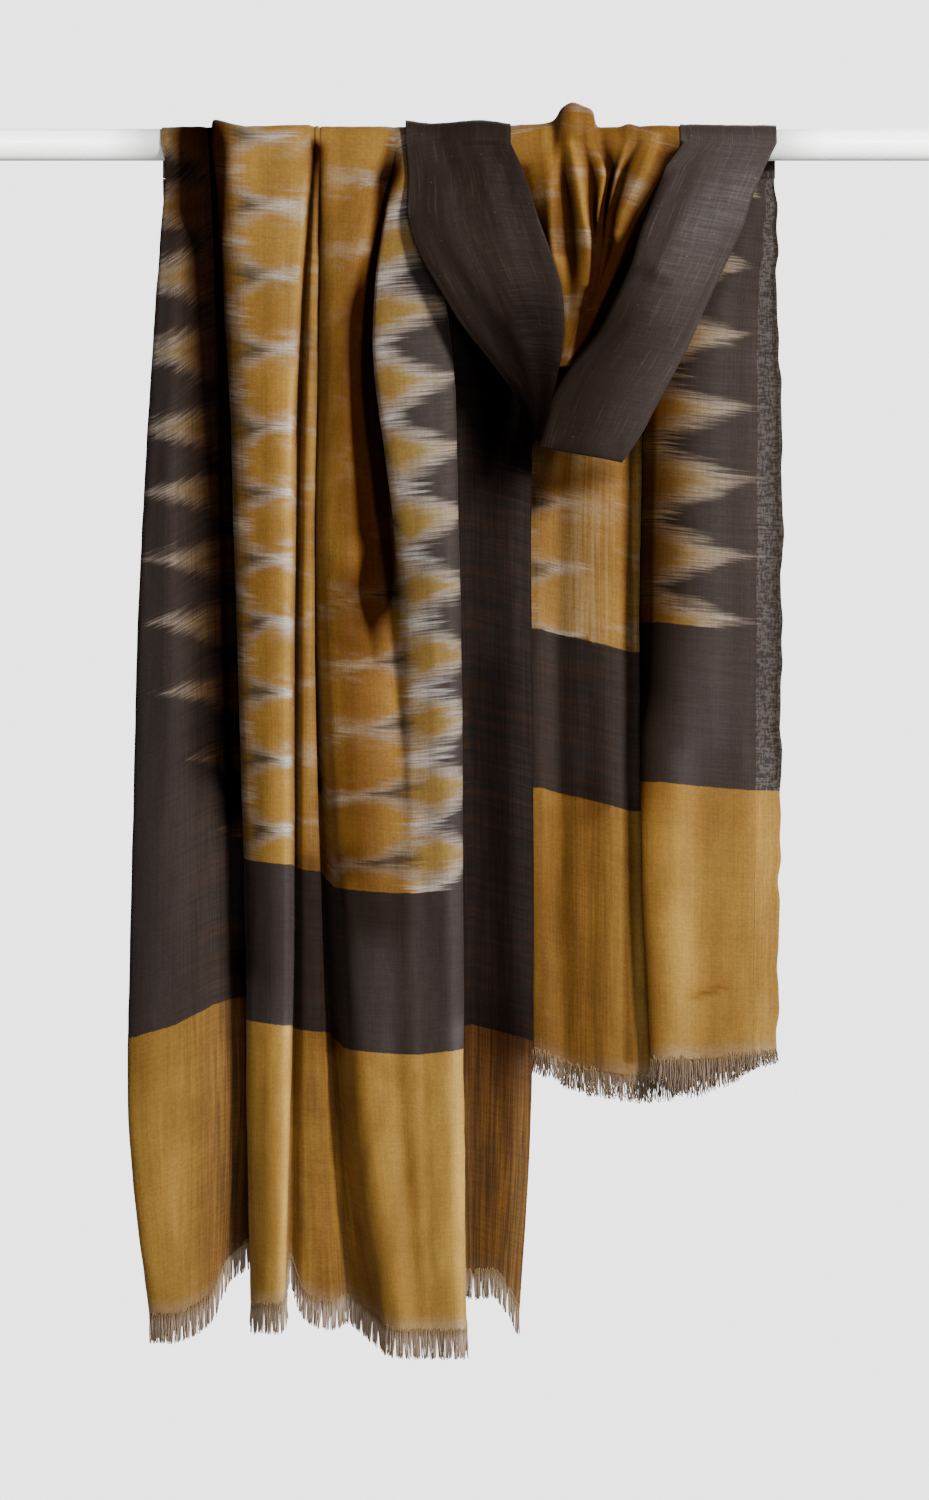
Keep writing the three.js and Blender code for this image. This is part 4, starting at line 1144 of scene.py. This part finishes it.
def floor_paint():
    look = Look("floor_paint", Roughness=0.9, Specular_IOR_Level=0.1)
    mottle = look.grain(look.node("TexCoord").outputs["Object"], 3.0, 2.0)
    look.set("Base Color", look.mix(mottle, linear(FLOOR_SHADE), linear(FLOOR_GREY)))
    return look.material


# ---- the shawl ----

def dress(piece, material, slot, *nodes):
    piece.data.materials.append(material)
    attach(piece, "root")
    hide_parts(*nodes)
    return piece


stretches = {
    "left_end": left_end(),
    "swag_flap": flap(),
    "swag_gathers": gathers(),
    "swag_band": band(),
    "right_end": right_end(),
}
hems = {name: stretches[name].points[0].copy() for name in ("left_end", "right_end")}
flap_back = stretches["swag_flap"].points[-1]
gathers_back = stretches["swag_gathers"].points[-1]
behind_swag = np.concatenate([flap_back, gathers_back[gathers_back[:, 0] < LOOP_END]])
stretches["back_loop"] = back_loop(stretches["left_end"].points[-1], behind_swag)

# The fringe on each end: its name, its look and the seed of its random numbers.
FRINGES = {"left_end": ("left_fringe", LEFT_FRINGE, 5), "right_end": ("right_fringe", RIGHT_FRINGE, 6)}

patterned, plain, yarn = patterned_cloth(), border_cloth(), fringe_yarn()
looks = {"swag_flap": (plain, "border_cloth"), "swag_band": (plain, "border_cloth")}
for order, (name, stretch) in enumerate(stretches.items()):
    add_ripples(stretch, RIPPLE_SEED + 10 * order)
    material, slot = looks.get(name, (patterned, "patterned_cloth"))
    dress(shell(name + "_cloth", stretch), material, slot, name)

for end, (name, look, seed) in FRINGES.items():
    dress(fringe(name + "_threads", hems[end], look, seed), yarn, "fringe", name)

for material_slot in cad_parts["rod"].material_slots:
    material_slot.material = white_paint()

# ---- floor, light and camera, in metres ----

FLOOR = {"vertices": 96, "radius": 1.6, "location": (0, 0, -1.6)}
bpy.ops.mesh.primitive_circle_add(fill_type="NGON", **FLOOR)
floor = bpy.context.object
floor.name = "floor"
floor.data.materials.append(floor_paint())
floor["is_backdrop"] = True


def lamp(kind, name, place, target, power, **settings):
    """A light of this kind at a place, turned towards its target."""
    light = bpy.data.lights.new(name, kind)
    light.energy = power
    for setting, value in settings.items():
        setattr(light, setting, value)
    holder = bpy.data.objects.new(name, light)
    holder.location = place
    direction = np.array(target) - np.array(place)
    yaw = math.atan2(direction[1], direction[0]) - math.pi / 2
    pitch = math.atan2(direction[2], math.hypot(direction[0], direction[1])) + math.pi / 2
    holder.rotation_euler = (pitch, 0, yaw)
    bpy.context.collection.objects.link(holder)


MIDDLE = (0, 0, -0.472)
lamp("AREA", "key", (1.9, -1.9, 0.9), MIDDLE, 195, shape="DISK", size=0.6)
lamp("AREA", "front", (0.2, -3.2, 0.4), MIDDLE, 28, shape="DISK", size=1.2)
lamp("AREA", "back", (0.6, 2.4, 0.9), MIDDLE, 70, shape="DISK", size=1.6)
for side in (-1, 1):
    lamp("SPOT", "rod_end", (side * 0.62, -1.2, 0.38), (side * 0.47, 0, 0), 220,
         spot_size=math.radians(19), spot_blend=0.12, shadow_soft_size=0.02)

# The camera sees the plain background; the cloth is lit by a dimmer one.
world = bpy.data.worlds.new("studio")
bpy.context.scene.world = world
world.use_nodes = True
nodes, links = world.node_tree.nodes, world.node_tree.links
nodes.clear()
choose = nodes.new("ShaderNodeMixShader")
links.new(nodes.new("ShaderNodeLightPath").outputs["Is Camera Ray"], choose.inputs[0])
for socket, colour, strength in ((choose.inputs[1], AMBIENT, 0.15), (choose.inputs[2], BACKGROUND, 4.0)):
    background = nodes.new("ShaderNodeBackground")
    background.inputs["Color"].default_value = linear(colour)
    background.inputs["Strength"].default_value = strength
    links.new(background.outputs[0], socket)
links.new(choose.outputs[0], nodes.new("ShaderNodeOutputWorld").inputs["Surface"])

CAMERA_DISTANCE = 5.0
FRAME_HEIGHT = 1.17  # how much of the rod's plane the picture's height takes in
SENSOR_HEIGHT = 36.0  # millimetres, as the lens
camera = bpy.data.cameras.new("camera")
camera.sensor_fit = "VERTICAL"
camera.sensor_height = SENSOR_HEIGHT
camera.lens = SENSOR_HEIGHT * CAMERA_DISTANCE / FRAME_HEIGHT
viewer = bpy.data.objects.new("camera", camera)
viewer.location = (0, -CAMERA_DISTANCE, MIDDLE[2])
viewer.rotation_euler = (math.pi / 2, 0, 0)
bpy.context.collection.objects.link(viewer)
bpy.context.scene.camera = viewer

[[list(corner) for corner in box] for box in (cad_box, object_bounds())]
